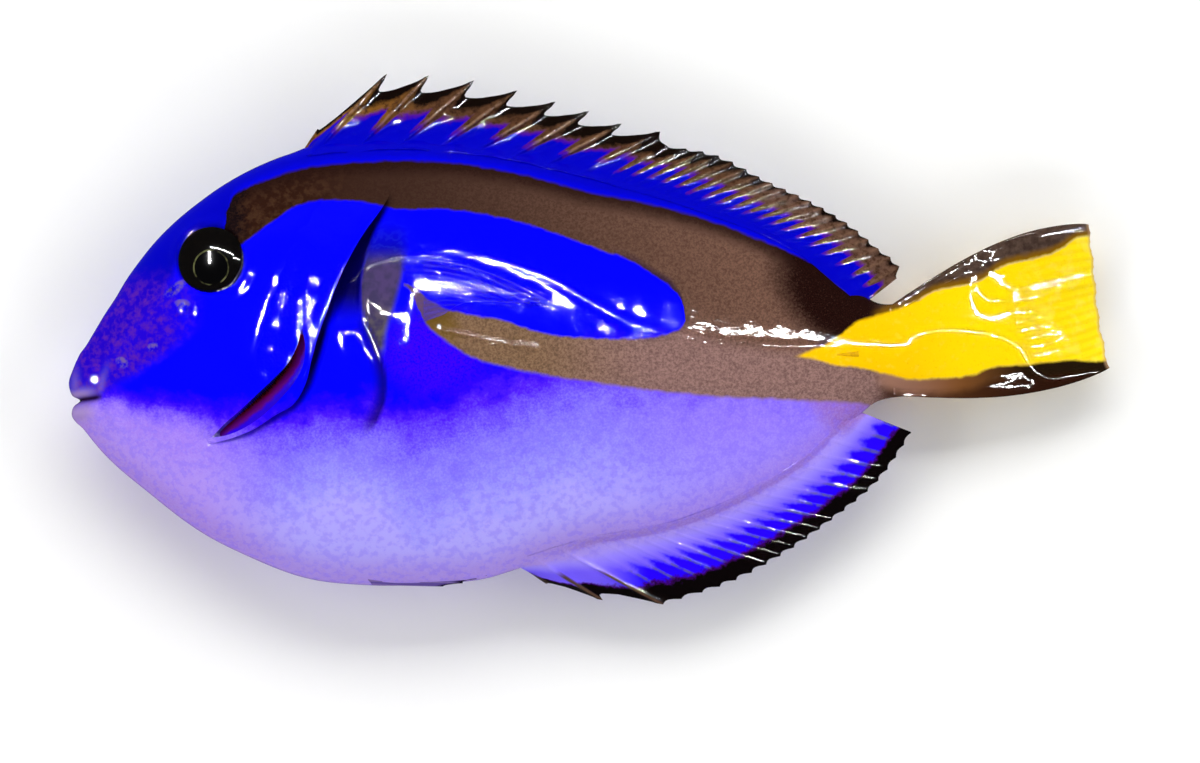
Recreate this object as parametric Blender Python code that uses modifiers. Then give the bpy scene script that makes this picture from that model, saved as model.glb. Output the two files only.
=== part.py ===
"""A young regal blue tang, life size, lying on its right side as a museum model.

Every size below is in millimetres on the fish itself: x runs from the snout to the tail,
y from the belly to the back and z from the right flank to the left one. The finished model
is moved so that the floor is z = 0 and the middle of its outline is x = y = 0.
"""
import math

import bmesh
import bpy
import numpy as np
from mathutils import Matrix, Vector

MM = 0.001
GAP = 0.3

# The body: its length without the tail fin, and its mid-plane's height over the floor
SNOUT_START = 0.45
BODY_LENGTH = 70.0
REST_HEIGHT = 5.5
SNOUT_ROUND = 0.1
STATIONS = 50
STATION_CROWDING = 1.15
RING_POINTS = 44
CORE_RANGE = (7.0, 45.0)
THROUGH = 9.0
MID_WALL = 0.6

# Side outline of the body without its fins, and its half thickness seen from above
BACK = [(0, 1.2), (2, 4.3), (4.6, 8.2), (7.1, 11.3), (11.9, 15.3), (17.1, 18.0), (20.1, 18.9),
        (25, 19.3), (31, 19.1), (37, 18.1), (45.3, 15.8), (53.6, 12.9), (61.9, 8.9),
        (66.5, 4.9), (68, 4.0), (70, 3.7)]
BELLY = [(0, -2.6), (2, -5.4), (6.2, -9.5), (10.2, -12.8), (14.4, -15.2), (18.5, -17.0),
         (24.4, -18.0), (30, -18.1), (34.5, -17.8), (38.6, -16.5), (42.2, -15.6), (50.7, -14.2),
         (56.5, -12.1), (61.7, -9.2), (65.2, -6.1), (67.5, -4.5), (70, -4.0)]
HALF_WIDTH = [(0, 0.8), (2, 1.9), (4.6, 3.0), (8, 4.1), (12, 4.9), (18, 5.7), (24, 6.0),
              (31, 6.0), (38, 5.7), (46, 4.9), (54, 3.8), (60, 2.9), (64, 2.3), (67, 1.85),
              (70, 1.5)]

# Soft swellings of the flank, each by its middle, its reach along and up, and its height:
# the cheek under the gill cover, and the shoulder with the root of the pectoral fin
CHEEK = [((20.0, 5.0), (10.0, 13.0), 0.45)]
SHOULDER = [((24.6, 1.5), (5.0, 9.0), 0.5), ((26.4, 6.4), (3.0, 4.6), 0.35)]

# Lines along which the body is parted, each drawn in side view and cut right through
GILL_OPENING = [(19.2, 22.0), (19.8, 18.6), (24.5, 16.6), (27.3, 13.8), (25.7, 11.5), (23.8, 8.3),
                (22.0, 5.4), (20.9, 2.5), (19.9, -0.6), (17.6, -3.4), (14.2, -5.4), (11.6, -7.6),
                (9.8, -10.6), (9.2, -16.0)]
JAW_LINE = [(-2.0, -1.5), (0.6, -1.4), (2.4, -1.1), (3.3, -3.0), (4.6, -6.0), (5.1, -12.0)]
STALK_LINE = [(61.2, 14.0), (61.6, 5.0), (61.2, -0.3), (61.8, -6.0), (61.4, -14.0)]

# The gill cover: its seam with the cheek, its thickness, and the slit that shows the gills
COVER_SEAM = [(29.0, 15.2), (25.0, 15.1), (21.5, 13.9), (18.2, 10.4), (16.4, 6.0), (14.7, 1.5),
              (12.4, -2.4), (10.9, -5.4), (10.2, -8.4), (12.0, -10.5), (24.0, -6.0), (30.0, 8.0)]
COVER_THICKNESS = 0.9
SLIT = [(19.6, 3.5), (18.7, 1.4), (17.2, -0.8), (15.0, -2.7), (11.9, -5.0), (14.9, -3.9),
        (17.2, -2.3), (18.9, -0.2), (19.6, 1.6)]
SLIT_MIDDLE = [(19.2, 2.4), (18.2, 0.2), (16.2, -1.8), (13.4, -3.8)]
GILL_SPREAD = 0.5
GILL_DEPTH = 1.1
GILL_GROOVES = 11
GROOVE_WIDTH = 0.32
GROOVE_REACH = 1.8
GROOVE_DEPTH = 0.4

# The eye, nostrils and lips
EYE_PLACE = (12.35, 9.93)
EYE_RADIUS = 2.85
EYE_BULGE = 0.75
EYE_DEPTH = 2.0
EYE_SINK = 0.15
NOSTRILS = [((8.8, 7.6), 0.35), ((10.0, 5.9), 0.42)]
LIP_CORNER = 2.2
LIP_SINK = 0.15
LIP_THINNING = 0.5
LIP_STEPS = 10
UPPER_LIP = ((0.55, 0.65), 0.85, -0.5)
LOWER_LIP = ((0.75, -2.5), 0.75, -1.9)

# Fins: thickness of a membrane, how far a ray stands out of both its faces together, how many
# times further a spine does, and how thick a fin is at its root
MEMBRANE = 0.5
RAY_RISE = 0.3
SPINE_RISE = 1.5
ROOT_WALL = {"dorsal_fin": 1.0, "anal_fin": 1.5, "tail_fin": 1.6, "pectoral_fin": 0.7, "pelvic_fin": 0.7}

# Between two spines the membrane hangs down: how far across, and how high it reaches there.
# Between two soft rays it only dips a little, and towards the rear the rays lean back more
SPINE_HANGS = ((0.14, 0.8), (0.5, 0.8), (0.88, 0.93))
EDGE_DIP = 0.04
RAY_FAN = 0.9

# Each fin's lines. A spine is given by its root's x and by the x and y of its tip. A droop is
# how far a fin's edge hangs below the mid-plane, and a bow is how far a ray curves sideways
DORSAL_SPINES = [(19.9, 21.6, 20.6), (21.0, 27.7, 25.1), (24.6, 31.2, 24.8), (28.0, 35.0, 24.2),
                 (31.3, 38.6, 23.2), (34.4, 41.8, 22.1), (37.4, 44.6, 21.2), (40.3, 47.3, 20.0),
                 (43.1, 50.5, 19.2)]
DORSAL_RAYS = 20
DORSAL_BASE = (45.2, 67.0)
DORSAL_EDGE = [(51.0, 18.0), (55.5, 16.9), (59.1, 14.8), (63.4, 12.5), (66.7, 10.2), (68.6, 8.4),
               (70.2, 6.8), (69.9, 5.9)]
DORSAL_DROOP = 1.2
DORSAL_BOW = -0.25
ANAL_SPINES = [(36.4, 39.4, -18.5), (38.0, 43.9, -20.1), (40.2, 49.0, -20.7)]
ANAL_RAYS = 19
ANAL_BASE = (42.0, 65.8)
ANAL_EDGE = [(50.6, -20.3), (54.8, -19.1), (59.9, -16.6), (64.0, -13.9), (67.8, -10.9),
             (69.6, -8.6), (70.6, -7.1)]
ANAL_DROOP = 1.6
ANAL_BOW = 0.25
TAIL_RAYS = 16
TAIL_REAR = [(86.4, 9.8), (86.7, 6.3), (87.0, 1.5), (87.6, -2.4)]
TAIL_BOW = (1.6, -1.3)
TAIL_DROOP = 3.4
TAIL_WAVE = 0.35
PECTORAL_RAYS = 12
PECTORAL_BASE = ((28.1, 9.2), (29.6, 3.9))
PECTORAL_EDGE = [(40.6, 5.3), (38.4, 5.1), (35.8, 5.4), (33.4, 5.4), (31.6, 4.5)]
PECTORAL_BOW = 1.0
PECTORAL_LIFT = GAP + (MEMBRANE + RAY_RISE) / 2 + 0.1
PELVIC_RAYS = 4
PELVIC_BASE = ((24.2, -16.9), (24.8, -18.0))
PELVIC_EDGE = [(34.3, -17.6), (33.0, -17.9), (30.5, -18.2)]
PELVIC_LIFT = 0.6
PELVIC_TILT = 0.65

# The blade on each side of the tail stalk, which points forward
BLADE_TIP = (63.6, -0.3)
BLADE_LENGTH = 3.2
BLADE_RADIUS = 0.45
BLADE_POINT = 0.12
BLADE_SINK = 0.05

COLOURS = {
    "blue skin": ((0.01, 0.03, 0.75), 0.30),
    "yellow fin": ((0.95, 0.62, 0.01), 0.35),
    "violet skin": ((0.22, 0.17, 0.85), 0.34),
    "eye": ((0.005, 0.005, 0.006), 0.08),
    "gill": ((0.16, 0.01, 0.02), 0.30),
    "bone": ((0.55, 0.50, 0.42), 0.35),
}


def clear_scene():
    for thing in list(bpy.data.objects):
        bpy.data.objects.remove(thing, do_unlink=True)


def material(name):
    """One painted surface: its colour and how rough it is."""
    found = bpy.data.materials.get(name)
    if found:
        return found
    colour, roughness = COLOURS[name]
    made = bpy.data.materials.new(name)
    made.use_nodes = True
    surface = made.node_tree.nodes["Principled BSDF"]
    surface.inputs["Base Color"].default_value = (*colour, 1.0)
    surface.inputs["Roughness"].default_value = roughness
    return made


def line_through(points):
    """Return y as a smooth function of x through points that run in order of x."""
    xs, ys = (np.array(axis, float) for axis in zip(*points))
    slopes = np.gradient(ys, xs)

    def height(x):
        i = int(np.clip(np.searchsorted(xs, x) - 1, 0, len(xs) - 2))
        step = xs[i + 1] - xs[i]
        t = min(max((x - xs[i]) / step, 0.0), 1.0)
        start = (1 + 2 * t) * (1 - t) ** 2 * ys[i] + t * (1 - t) ** 2 * step * slopes[i]
        end = t * t * (3 - 2 * t) * ys[i + 1] + t * t * (t - 1) * step * slopes[i + 1]
        return float(start + end)

    return height


def path_through(points):
    """Return the point at a share from 0 to 1 of the length of a line of points."""
    corners = np.array(points, float)
    steps = np.linalg.norm(np.diff(corners, axis=0), axis=1)
    along = np.concatenate(([0.0], np.cumsum(steps))) / steps.sum()
    x_at, y_at = (line_through(list(zip(along, corners[:, axis]))) for axis in (0, 1))
    return lambda share: (x_at(share), y_at(share))


back_at = line_through(BACK)
belly_at = line_through(BELLY)
half_width_at = line_through(HALF_WIDTH)


def swelling(x, y, mounds):
    """Height of the soft swellings of the flank at a place in side view."""
    total = 0.0
    for (middle_x, middle_y), (reach_x, reach_y), height in mounds:
        near = 1 - ((x - middle_x) / reach_x) ** 2 - ((y - middle_y) / reach_y) ** 2
        total += height * max(near, 0.0) ** 1.5
    return total


def flank_height(x, y, mounds=()):
    """Distance of the left flank from the mid-plane at a place in side view."""
    top = back_at(x)
    bottom = belly_at(x)
    share = (2 * y - top - bottom) / (top - bottom)
    return half_width_at(x) * math.sqrt(max(1 - share * share, 0.0)) + swelling(x, y, mounds)


def cheek_normal(x, y):
    """Direction that the left cheek faces at a place in side view."""
    step = 0.2
    ahead = flank_height(x + step, y, CHEEK) - flank_height(x - step, y, CHEEK)
    above = flank_height(x, y + step, CHEEK) - flank_height(x, y - step, CHEEK)
    return Vector((-ahead, -above, 2 * step)).normalized()


def add_object(name, mesh_data, colour):
    """Turn a bmesh into an object of the model's collection."""
    mesh = bpy.data.meshes.new(name)
    mesh_data.to_mesh(mesh)
    mesh_data.free()
    thing = bpy.data.objects.new(name, mesh)
    fish.objects.link(thing)
    thing.data.materials.append(material(colour))
    return thing


def apply_modifiers(thing):
    graph = bpy.context.evaluated_depsgraph_get()
    mesh = bpy.data.meshes.new_from_object(thing.evaluated_get(graph))
    thing.modifiers.clear()
    thing.data = mesh


def combine(thing, other, operation):
    """Cut one solid by another, join it or keep what they share, and use the other up."""
    tool = thing.modifiers.new(operation, "BOOLEAN")
    tool.operation = operation
    tool.solver = "EXACT"
    tool.object = other
    apply_modifiers(thing)
    bpy.data.objects.remove(other, do_unlink=True)
    return thing


def copy_of(thing, name):
    twin = bpy.data.objects.new(name, thing.data.copy())
    fish.objects.link(twin)
    return twin


def loose_parts(mesh_data):
    """List the separate closed surfaces of a mesh, each as a set of its vertices."""
    left = set(mesh_data.verts)
    parts = []
    while left:
        part = set()
        edge = [left.pop()]
        while edge:
            vertex = edge.pop()
            part.add(vertex)
            for link in vertex.link_edges:
                other = link.other_vert(vertex)
                if other in left:
                    left.discard(other)
                    edge.append(other)
        parts.append(part)
    return parts


def keep_part(thing, choose):
    """Keep only the closed surface that choose scores highest."""
    mesh_data = bmesh.new()
    mesh_data.from_mesh(thing.data)
    parts = loose_parts(mesh_data)
    kept = max(parts, key=choose)
    spare = [vertex for part in parts if part is not kept for vertex in part]
    bmesh.ops.delete(mesh_data, geom=spare, context="VERTS")
    bmesh.ops.remove_doubles(mesh_data, verts=mesh_data.verts, dist=0.00002)
    bmesh.ops.dissolve_degenerate(mesh_data, edges=mesh_data.edges, dist=0.00001)
    bmesh.ops.triangulate(mesh_data, faces=mesh_data.faces)
    mesh_data.to_mesh(thing.data)
    mesh_data.free()
    return thing


def size_of(part):
    """Score a closed surface by the room that its box takes up."""
    places = np.array([vertex.co for vertex in part])
    return float(np.prod(places.max(axis=0) - places.min(axis=0)))


def has_place(x, y):
    """Score a closed surface by how near its middle is to a place in side view."""
    target = Vector((x, y, 0)) * MM

    def score(part):
        middle = sum((vertex.co for vertex in part), Vector()) / len(part)
        return -(middle - target).length

    return score


def body_loft(name, mounds=(), inset=0.0, start=SNOUT_START, end=BODY_LENGTH):
    """Loft the body through its sections, with the right flank flat on the floor."""
    loft = bmesh.new()
    rings = []
    for station in range(STATIONS + 1):
        x = start + (end - start) * (station / STATIONS) ** STATION_CROWDING
        top = back_at(x) - inset
        bottom = belly_at(x) + inset
        ring = []
        for k in range(RING_POINTS):
            angle = 2 * math.pi * k / RING_POINTS
            y = (top + bottom) / 2 + (top - bottom) / 2 * math.sin(angle)
            z = (half_width_at(x) - inset) * math.cos(angle)
            z += math.copysign(swelling(x, y, mounds), math.cos(angle))
            z = max(z, inset - REST_HEIGHT)
            ring.append(loft.verts.new(Vector((x, y, z)) * MM))
        rings.append(ring)
    for front, rear in zip(rings, rings[1:]):
        for k in range(RING_POINTS):
            after = (k + 1) % RING_POINTS
            loft.faces.new((front[k], front[after], rear[after], rear[k]))
    for ring, reach in ((rings[0], -SNOUT_ROUND), (rings[-1], 0.0)):
        middle = sum((vertex.co for vertex in ring), Vector()) / RING_POINTS
        centre = loft.verts.new(middle + Vector((reach, 0, 0)) * MM)
        for k in range(RING_POINTS):
            loft.faces.new((ring[k], ring[(k + 1) % RING_POINTS], centre))
    bmesh.ops.triangulate(loft, faces=loft.faces)
    bmesh.ops.recalc_face_normals(loft, faces=loft.faces)
    return add_object(name, loft, "blue skin")


def wall(path):
    """A cutter as thin as the gap, standing on a line drawn in side view."""
    ribbon = bmesh.new()
    low = [ribbon.verts.new(Vector((x, y, -THROUGH)) * MM) for x, y in path]
    high = [ribbon.verts.new(Vector((x, y, THROUGH)) * MM) for x, y in path]
    for i in range(len(path) - 1):
        ribbon.faces.new((low[i], low[i + 1], high[i + 1], high[i]))
    cutter = add_object("wall", ribbon, "bone")
    shell = cutter.modifiers.new("thickness", "SOLIDIFY")
    shell.thickness = GAP * MM
    shell.offset = 0.0
    shell.use_even_offset = True
    apply_modifiers(cutter)
    return cutter


def grown(outline, amount):
    """Move a closed outline outwards by an amount, or inwards where it is negative."""
    corners = np.array(outline, float)
    before = np.roll(corners, 1, axis=0)
    after = np.roll(corners, -1, axis=0)
    area = np.sum(before[:, 0] * corners[:, 1] - corners[:, 0] * before[:, 1])
    way = math.copysign(1.0, area)
    edges_in = (corners - before) / np.linalg.norm(corners - before, axis=1)[:, None]
    edges_out = (after - corners) / np.linalg.norm(after - corners, axis=1)[:, None]
    normals_in = np.stack((edges_in[:, 1], -edges_in[:, 0]), axis=1) * way
    normals_out = np.stack((edges_out[:, 1], -edges_out[:, 0]), axis=1) * way
    lean = normals_in + normals_out
    lean /= np.maximum(np.sum(lean * normals_in, axis=1), 0.5)[:, None]
    return [tuple(point) for point in corners + lean * amount]


def block(name, outlines, low, high):
    """Straight prisms on outlines drawn in side view."""
    prism = bmesh.new()
    for outline in outlines:
        prism.faces.new([prism.verts.new(Vector((x, y, low)) * MM) for x, y in outline])
    lifted = bmesh.ops.extrude_face_region(prism, geom=prism.faces[:])["geom"]
    tops = [item for item in lifted if isinstance(item, bmesh.types.BMVert)]
    bmesh.ops.translate(prism, verts=tops, vec=Vector((0, 0, high - low)) * MM)
    bmesh.ops.triangulate(prism, faces=prism.faces)
    bmesh.ops.recalc_face_normals(prism, faces=prism.faces)
    return add_object(name, prism, "bone")


def side_block(name, outlines, side):
    """Prisms that take in one flank only."""
    low, high = (MID_WALL, THROUGH) if side > 0 else (-THROUGH, -MID_WALL)
    return block(name, outlines, low, high)


def bend(base, outer, share, bow):
    """A point along a ray that bows to one side."""
    start, end = Vector(base), Vector(outer)
    across = Vector((start.y - end.y, end.x - start.x)).normalized()
    return start.lerp(end, share) + across * bow * math.sin(math.pi * share)


def fin(name, columns, shares, place, colour):
    """A membrane whose ray ridges stand out of both faces.

    Each column is a line from the root to the edge: its two ends, its bow and how far it
    rises as a ray, from 0 on the membrane to 1 on a soft ray and more on a spine.
    """
    sheet = bmesh.new()
    grid = []
    weights = []
    root_wall = ROOT_WALL[name.removeprefix("left_").removeprefix("right_")]
    thickest = root_wall + RAY_RISE * SPINE_RISE
    for base, outer, bow, ray in columns:
        line = []
        for share in shares:
            point = bend(base, outer, share, bow)
            line.append(sheet.verts.new(place(point.x, point.y, share) * MM))
            body = MEMBRANE + (root_wall - MEMBRANE) * (1 - share) ** 2
            rise = RAY_RISE * ray * (1 - 0.5 * share ** 3)
            weights.append((body + rise) / thickest)
        grid.append(line)
    for one, other in zip(grid, grid[1:]):
        for i in range(len(shares) - 1):
            sheet.faces.new((one[i], one[i + 1], other[i + 1], other[i]))
    bmesh.ops.triangulate(sheet, faces=sheet.faces)
    thing = add_object(name, sheet, colour)
    group = thing.vertex_groups.new(name="thickness")
    for i, weight in enumerate(weights):
        group.add([i], weight, "REPLACE")
    shell = thing.modifiers.new("thickness", "SOLIDIFY")
    shell.thickness = thickest * MM
    shell.offset = 0.0
    shell.vertex_group = group.name
    shell.thickness_vertex_group = 0.0
    apply_modifiers(thing)
    return thing


def spiny_columns(spines, base_at):
    """Columns of the spiny front of a fin, whose membrane hangs between the spine tips."""
    columns = []
    for number, (base_x, tip_x, tip_y) in enumerate(spines):
        base = Vector((base_x, base_at(base_x)))
        tip = Vector((tip_x, tip_y))
        columns.append((base, tip, 0.0, SPINE_RISE))
        if number + 1 == len(spines):
            break
        next_x, next_tip_x, next_tip_y = spines[number + 1]
        next_base = Vector((next_x, base_at(next_x)))
        next_tip = Vector((next_tip_x, next_tip_y))
        for across, reach in SPINE_HANGS:
            x = base_x + (next_x - base_x) * across
            here = base.lerp(tip, reach)
            there = next_base.lerp(next_tip, reach)
            columns.append(((x, base_at(x)), here.lerp(there, across), 0.0, 0.0))
    return columns


def soft_columns(count, base_range, edge, base_at, bow):
    """Columns of the soft rays of a fin, with the membrane's edge dipping between them."""
    columns = []
    edge_at = path_through(edge)
    for step in range(2 * count - 1):
        share = step / (2 * count - 2)
        x = base_range[0] + (base_range[1] - base_range[0]) * share
        base = Vector((x, base_at(x)))
        outer = Vector(edge_at(share ** RAY_FAN))
        ray = 1.0 if step % 2 == 0 else 0.0
        columns.append((base, base.lerp(outer, 1 - EDGE_DIP * (1 - ray)), bow, ray))
    return columns


def droop_place(fall):
    """Place of a fin that hangs from the mid-plane towards the floor at its edge."""
    return lambda x, y, share: Vector((x, y, -fall * share ** 1.5))


def dorsal_root(x):
    slope = (back_at(x + 0.2) - back_at(x - 0.2)) / 0.4
    return back_at(x) + GAP * math.hypot(1.0, slope)


def anal_root(x):
    slope = (belly_at(x + 0.2) - belly_at(x - 0.2)) / 0.4
    return belly_at(x) - GAP * math.hypot(1.0, slope)


def make_dorsal_fin():
    columns = spiny_columns(DORSAL_SPINES, dorsal_root)
    columns += soft_columns(DORSAL_RAYS, DORSAL_BASE, DORSAL_EDGE, dorsal_root, DORSAL_BOW)
    shares = (0.0, 0.35, 0.7, 0.9, 1.0)
    return fin("dorsal_fin", columns, shares, droop_place(DORSAL_DROOP), "blue skin")


def make_anal_fin():
    columns = spiny_columns(ANAL_SPINES, anal_root)
    columns += soft_columns(ANAL_RAYS, ANAL_BASE, ANAL_EDGE, anal_root, ANAL_BOW)
    shares = (0.0, 0.35, 0.7, 1.0)
    return fin("anal_fin", columns, shares, droop_place(ANAL_DROOP), "violet skin")


def make_tail_fin():
    """The tail fin, which sinks towards the floor in two soft waves."""
    root_x = BODY_LENGTH + GAP
    top = back_at(BODY_LENGTH)
    bottom = belly_at(BODY_LENGTH)
    rear_at = path_through(TAIL_REAR)

    def place(x, y, share):
        wave = TAIL_WAVE * math.sin(0.55 * y + 3.0 * share) * share ** 2
        return Vector((x, y, -TAIL_DROOP * share ** 1.6 + wave))

    columns = []
    steps = 2 * TAIL_RAYS - 2
    for step in range(steps + 1):
        share = step / steps
        bow = TAIL_BOW[0] + (TAIL_BOW[1] - TAIL_BOW[0]) * share
        base = (root_x, top + (bottom - top) * share)
        columns.append((base, rear_at(share), bow, 1.0 if step % 2 == 0 else 0.0))
    shares = (0.0, 0.12, 0.28, 0.45, 0.62, 0.8, 1.0)
    return fin("tail_fin", columns, shares, place, "yellow fin")


def pectoral_columns():
    columns = []
    edge_at = path_through(PECTORAL_EDGE)
    steps = 2 * PECTORAL_RAYS - 2
    for step in range(steps + 1):
        share = step / steps
        base = Vector(PECTORAL_BASE[0]).lerp(Vector(PECTORAL_BASE[1]), share)
        bow = PECTORAL_BOW * (1 - share)
        columns.append((base, edge_at(share), bow, 1.0 if step % 2 == 0 else 0.0))
    return columns


def make_pectoral_fin(name, side):
    """A pectoral fin folded back on the flank; the right one lies just off the floor."""

    def place(x, y, share):
        height = flank_height(x, y, SHOULDER) + PECTORAL_LIFT
        if side < 0:
            height = min(height, REST_HEIGHT - PECTORAL_LIFT + GAP)
        return Vector((x, y, side * height))

    shares = (0.0, 0.25, 0.5, 0.75, 1.0)
    return fin(name, pectoral_columns(), shares, place, "blue skin")


def pectoral_hollow():
    """Room in the right flank for the fin that lies between the fish and the floor."""
    columns = pectoral_columns()
    upper = [bend(*columns[0][:2], share, columns[0][2]) for share in (0.0, 0.25, 0.5, 0.75, 1.0)]
    lower = [column[1] for column in columns[4::4]]
    outline = [tuple(point) for point in upper + lower] + [PECTORAL_BASE[1]]
    return block("hollow", [grown(outline, GAP + 0.1)], -THROUGH, 2 * PECTORAL_LIFT - REST_HEIGHT)


def make_pelvic_fin(name, side):
    """A pelvic fin folded back along the belly."""

    def place(x, y, share):
        height = flank_height(x, PELVIC_BASE[0][1]) + PELVIC_LIFT
        return Vector((x, y, side * (height + (y - PELVIC_BASE[0][1]) * PELVIC_TILT)))

    columns = []
    edge_at = path_through(PELVIC_EDGE)
    steps = 2 * PELVIC_RAYS - 2
    for step in range(steps + 1):
        share = step / steps
        base = Vector(PELVIC_BASE[0]).lerp(Vector(PELVIC_BASE[1]), share)
        columns.append((base, edge_at(share), 0.0, 1.0 if step % 2 == 0 else 0.0))
    shares = (0.0, 0.33, 0.67, 1.0)
    return fin(name, columns, shares, place, "violet skin")


def eye_ball(name, side, growth=0.0):
    """A flattened ball set in the cheek, looking the way that the flank faces."""
    x, y = EYE_PLACE
    ball = bmesh.new()
    bmesh.ops.create_uvsphere(ball, u_segments=20, v_segments=12, radius=1.0)
    across = EYE_RADIUS + growth
    for vertex in ball.verts:
        depth = (EYE_BULGE if vertex.co.z > 0 else EYE_DEPTH) + growth
        vertex.co = Vector((vertex.co.x * across, vertex.co.y * across, vertex.co.z * depth))
    normal = cheek_normal(x, y)
    turn = Vector((0, 0, 1)).rotation_difference(normal).to_matrix().to_4x4()
    centre = Vector((x, y, flank_height(x, y, CHEEK))) - normal * EYE_SINK
    mirror = Matrix.Diagonal((1, 1, side, 1))
    scale = Matrix.Diagonal((MM, MM, MM, 1))
    bmesh.ops.transform(ball, matrix=scale @ mirror @ Matrix.Translation(centre) @ turn,
                        verts=ball.verts)
    bmesh.ops.recalc_face_normals(ball, faces=ball.faces)
    return add_object(name, ball, "eye")


def pit(place, radius, side):
    """A small round cutter half sunk in the flank."""
    x, y = place
    ball = bmesh.new()
    centre = Vector((x, y, side * flank_height(x, y, CHEEK))) * MM
    bmesh.ops.create_icosphere(ball, subdivisions=1, radius=radius * MM,
                               matrix=Matrix.Translation(centre))
    return add_object("pit", ball, "eye")


def lip(name, shape):
    """A rounded lip from one corner of the mouth, round the snout, to the other."""
    (front_x, front_y), radius, corner_y = shape
    curve = bpy.data.curves.new(name, "CURVE")
    curve.dimensions = "3D"
    curve.bevel_depth = radius * MM
    curve.bevel_resolution = 2
    curve.use_fill_caps = True
    spline = curve.splines.new("POLY")
    reach = flank_height(LIP_CORNER, corner_y) - LIP_SINK
    places = []
    for step in range(LIP_STEPS + 1):
        turn = math.pi * (step / LIP_STEPS - 0.5)
        back = 1 - math.cos(turn)
        x = front_x + (LIP_CORNER - front_x) * back
        y = front_y + (corner_y - front_y) * back
        places.append((x, y, reach * math.sin(turn), 1.0 - LIP_THINNING * back))
    spline.points.add(len(places) - 1)
    for point, (x, y, z, thick) in zip(spline.points, places):
        point.co = (x * MM, y * MM, z * MM, 1.0)
        point.radius = thick
    tube = bpy.data.objects.new(name, curve)
    fish.objects.link(tube)
    graph = bpy.context.evaluated_depsgraph_get()
    mesh = bpy.data.meshes.new_from_object(tube.evaluated_get(graph))
    bpy.data.objects.remove(tube, do_unlink=True)
    solid = bmesh.new()
    solid.from_mesh(mesh)
    bmesh.ops.remove_doubles(solid, verts=solid.verts, dist=0.00001)
    bmesh.ops.recalc_face_normals(solid, faces=solid.faces)
    return add_object(name, solid, "violet skin")


def tail_blade(name, side, growth=0.0):
    """The folded blade of the tail stalk, a flat taper with its point to the front."""
    x, y = BLADE_TIP
    length = BLADE_LENGTH + 2 * growth
    cone = bmesh.new()
    bmesh.ops.create_cone(cone, cap_ends=True, segments=6, radius1=(BLADE_RADIUS + growth) * MM,
                          radius2=(BLADE_POINT + growth) * MM, depth=length * MM)
    middle_x = x + BLADE_LENGTH / 2
    height = side * (flank_height(middle_x, y) - BLADE_SINK)
    fall = math.atan2(flank_height(x, y) - flank_height(x + BLADE_LENGTH, y), BLADE_LENGTH)
    turn = Matrix.Rotation(-math.pi / 2 + side * fall, 4, "Y")
    bmesh.ops.transform(cone, matrix=Matrix.Translation(Vector((middle_x, y, height)) * MM) @ turn,
                        verts=cone.verts)
    return add_object(name, cone, "bone")


def part_body():
    """Cut the lofted body along its natural lines into four pieces."""
    front = body_loft("front", CHEEK)
    rear = body_loft("rear", SHOULDER)
    for loft in (front, rear):
        for path in (GILL_OPENING, JAW_LINE, STALK_LINE):
            combine(loft, wall(path), "DIFFERENCE")
    pieces = {}
    for name, loft, place in (("head", front, (12, 4)), ("lower_jaw", front, (2.5, -5)),
                              ("trunk", rear, (38, 0)), ("tail_stalk", rear, (66, 0))):
        pieces[name] = keep_part(copy_of(loft, name), has_place(*place))
    for loft in (front, rear):
        bpy.data.objects.remove(loft, do_unlink=True)
    return pieces


def core(depth):
    """The thick middle of the body below a depth under its skin."""
    return body_loft("core", (), depth, *CORE_RANGE)


def gill_grooves(side):
    """Thin cutters across the slit, which leave the gill's filaments between them."""
    middle_at = path_through(SLIT_MIDDLE)
    outlines = []
    for step in range(GILL_GROOVES):
        share = (step + 0.5) / GILL_GROOVES
        middle = Vector(middle_at(share))
        along = (Vector(middle_at(share + 0.02)) - Vector(middle_at(share - 0.02))).normalized()
        across = Vector((-along.y, along.x)) * GROOVE_REACH
        along *= GROOVE_WIDTH / 2
        outlines.append([tuple(middle + along * a + across * b)
                         for a, b in ((-1, -1), (1, -1), (1, 1), (-1, 1))])
    return side_block("grooves", outlines, side)


def make_gills(side_name, side, depth):
    """The filaments that the slit shows, as ridges on a pad below the gill cover."""
    gills = side_block(f"{side_name}_gills", [grown(SLIT, GILL_SPREAD)], side)
    combine(gills, core(depth), "INTERSECT")
    combine(gills, core(depth + GILL_DEPTH), "DIFFERENCE")
    grooves = gill_grooves(side)
    combine(grooves, core(depth + GROOVE_DEPTH), "DIFFERENCE")
    combine(gills, grooves, "DIFFERENCE")
    keep_part(gills, size_of)
    gills.data.materials.clear()
    gills.data.materials.append(material("gill"))


def cut_gill_cover(head, side_name, side):
    """Free a gill cover from the head, with the slit that shows the gills below it."""
    depth = COVER_THICKNESS + GAP
    cover = copy_of(head, f"{side_name}_gill_cover")
    combine(cover, side_block("cover block", [grown(COVER_SEAM, -GAP)], side), "INTERSECT")
    combine(cover, core(COVER_THICKNESS), "DIFFERENCE")
    combine(cover, side_block("slit", [SLIT], side), "DIFFERENCE")
    keep_part(cover, size_of)
    room = side_block("cover room", [COVER_SEAM], side)
    combine(room, core(depth), "DIFFERENCE")
    combine(head, room, "DIFFERENCE")
    pocket = side_block("pocket", [grown(SLIT, GILL_SPREAD + GAP)], side)
    combine(pocket, core(depth + GILL_DEPTH + GAP), "DIFFERENCE")
    combine(head, pocket, "DIFFERENCE")
    make_gills(side_name, side, depth)


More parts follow.
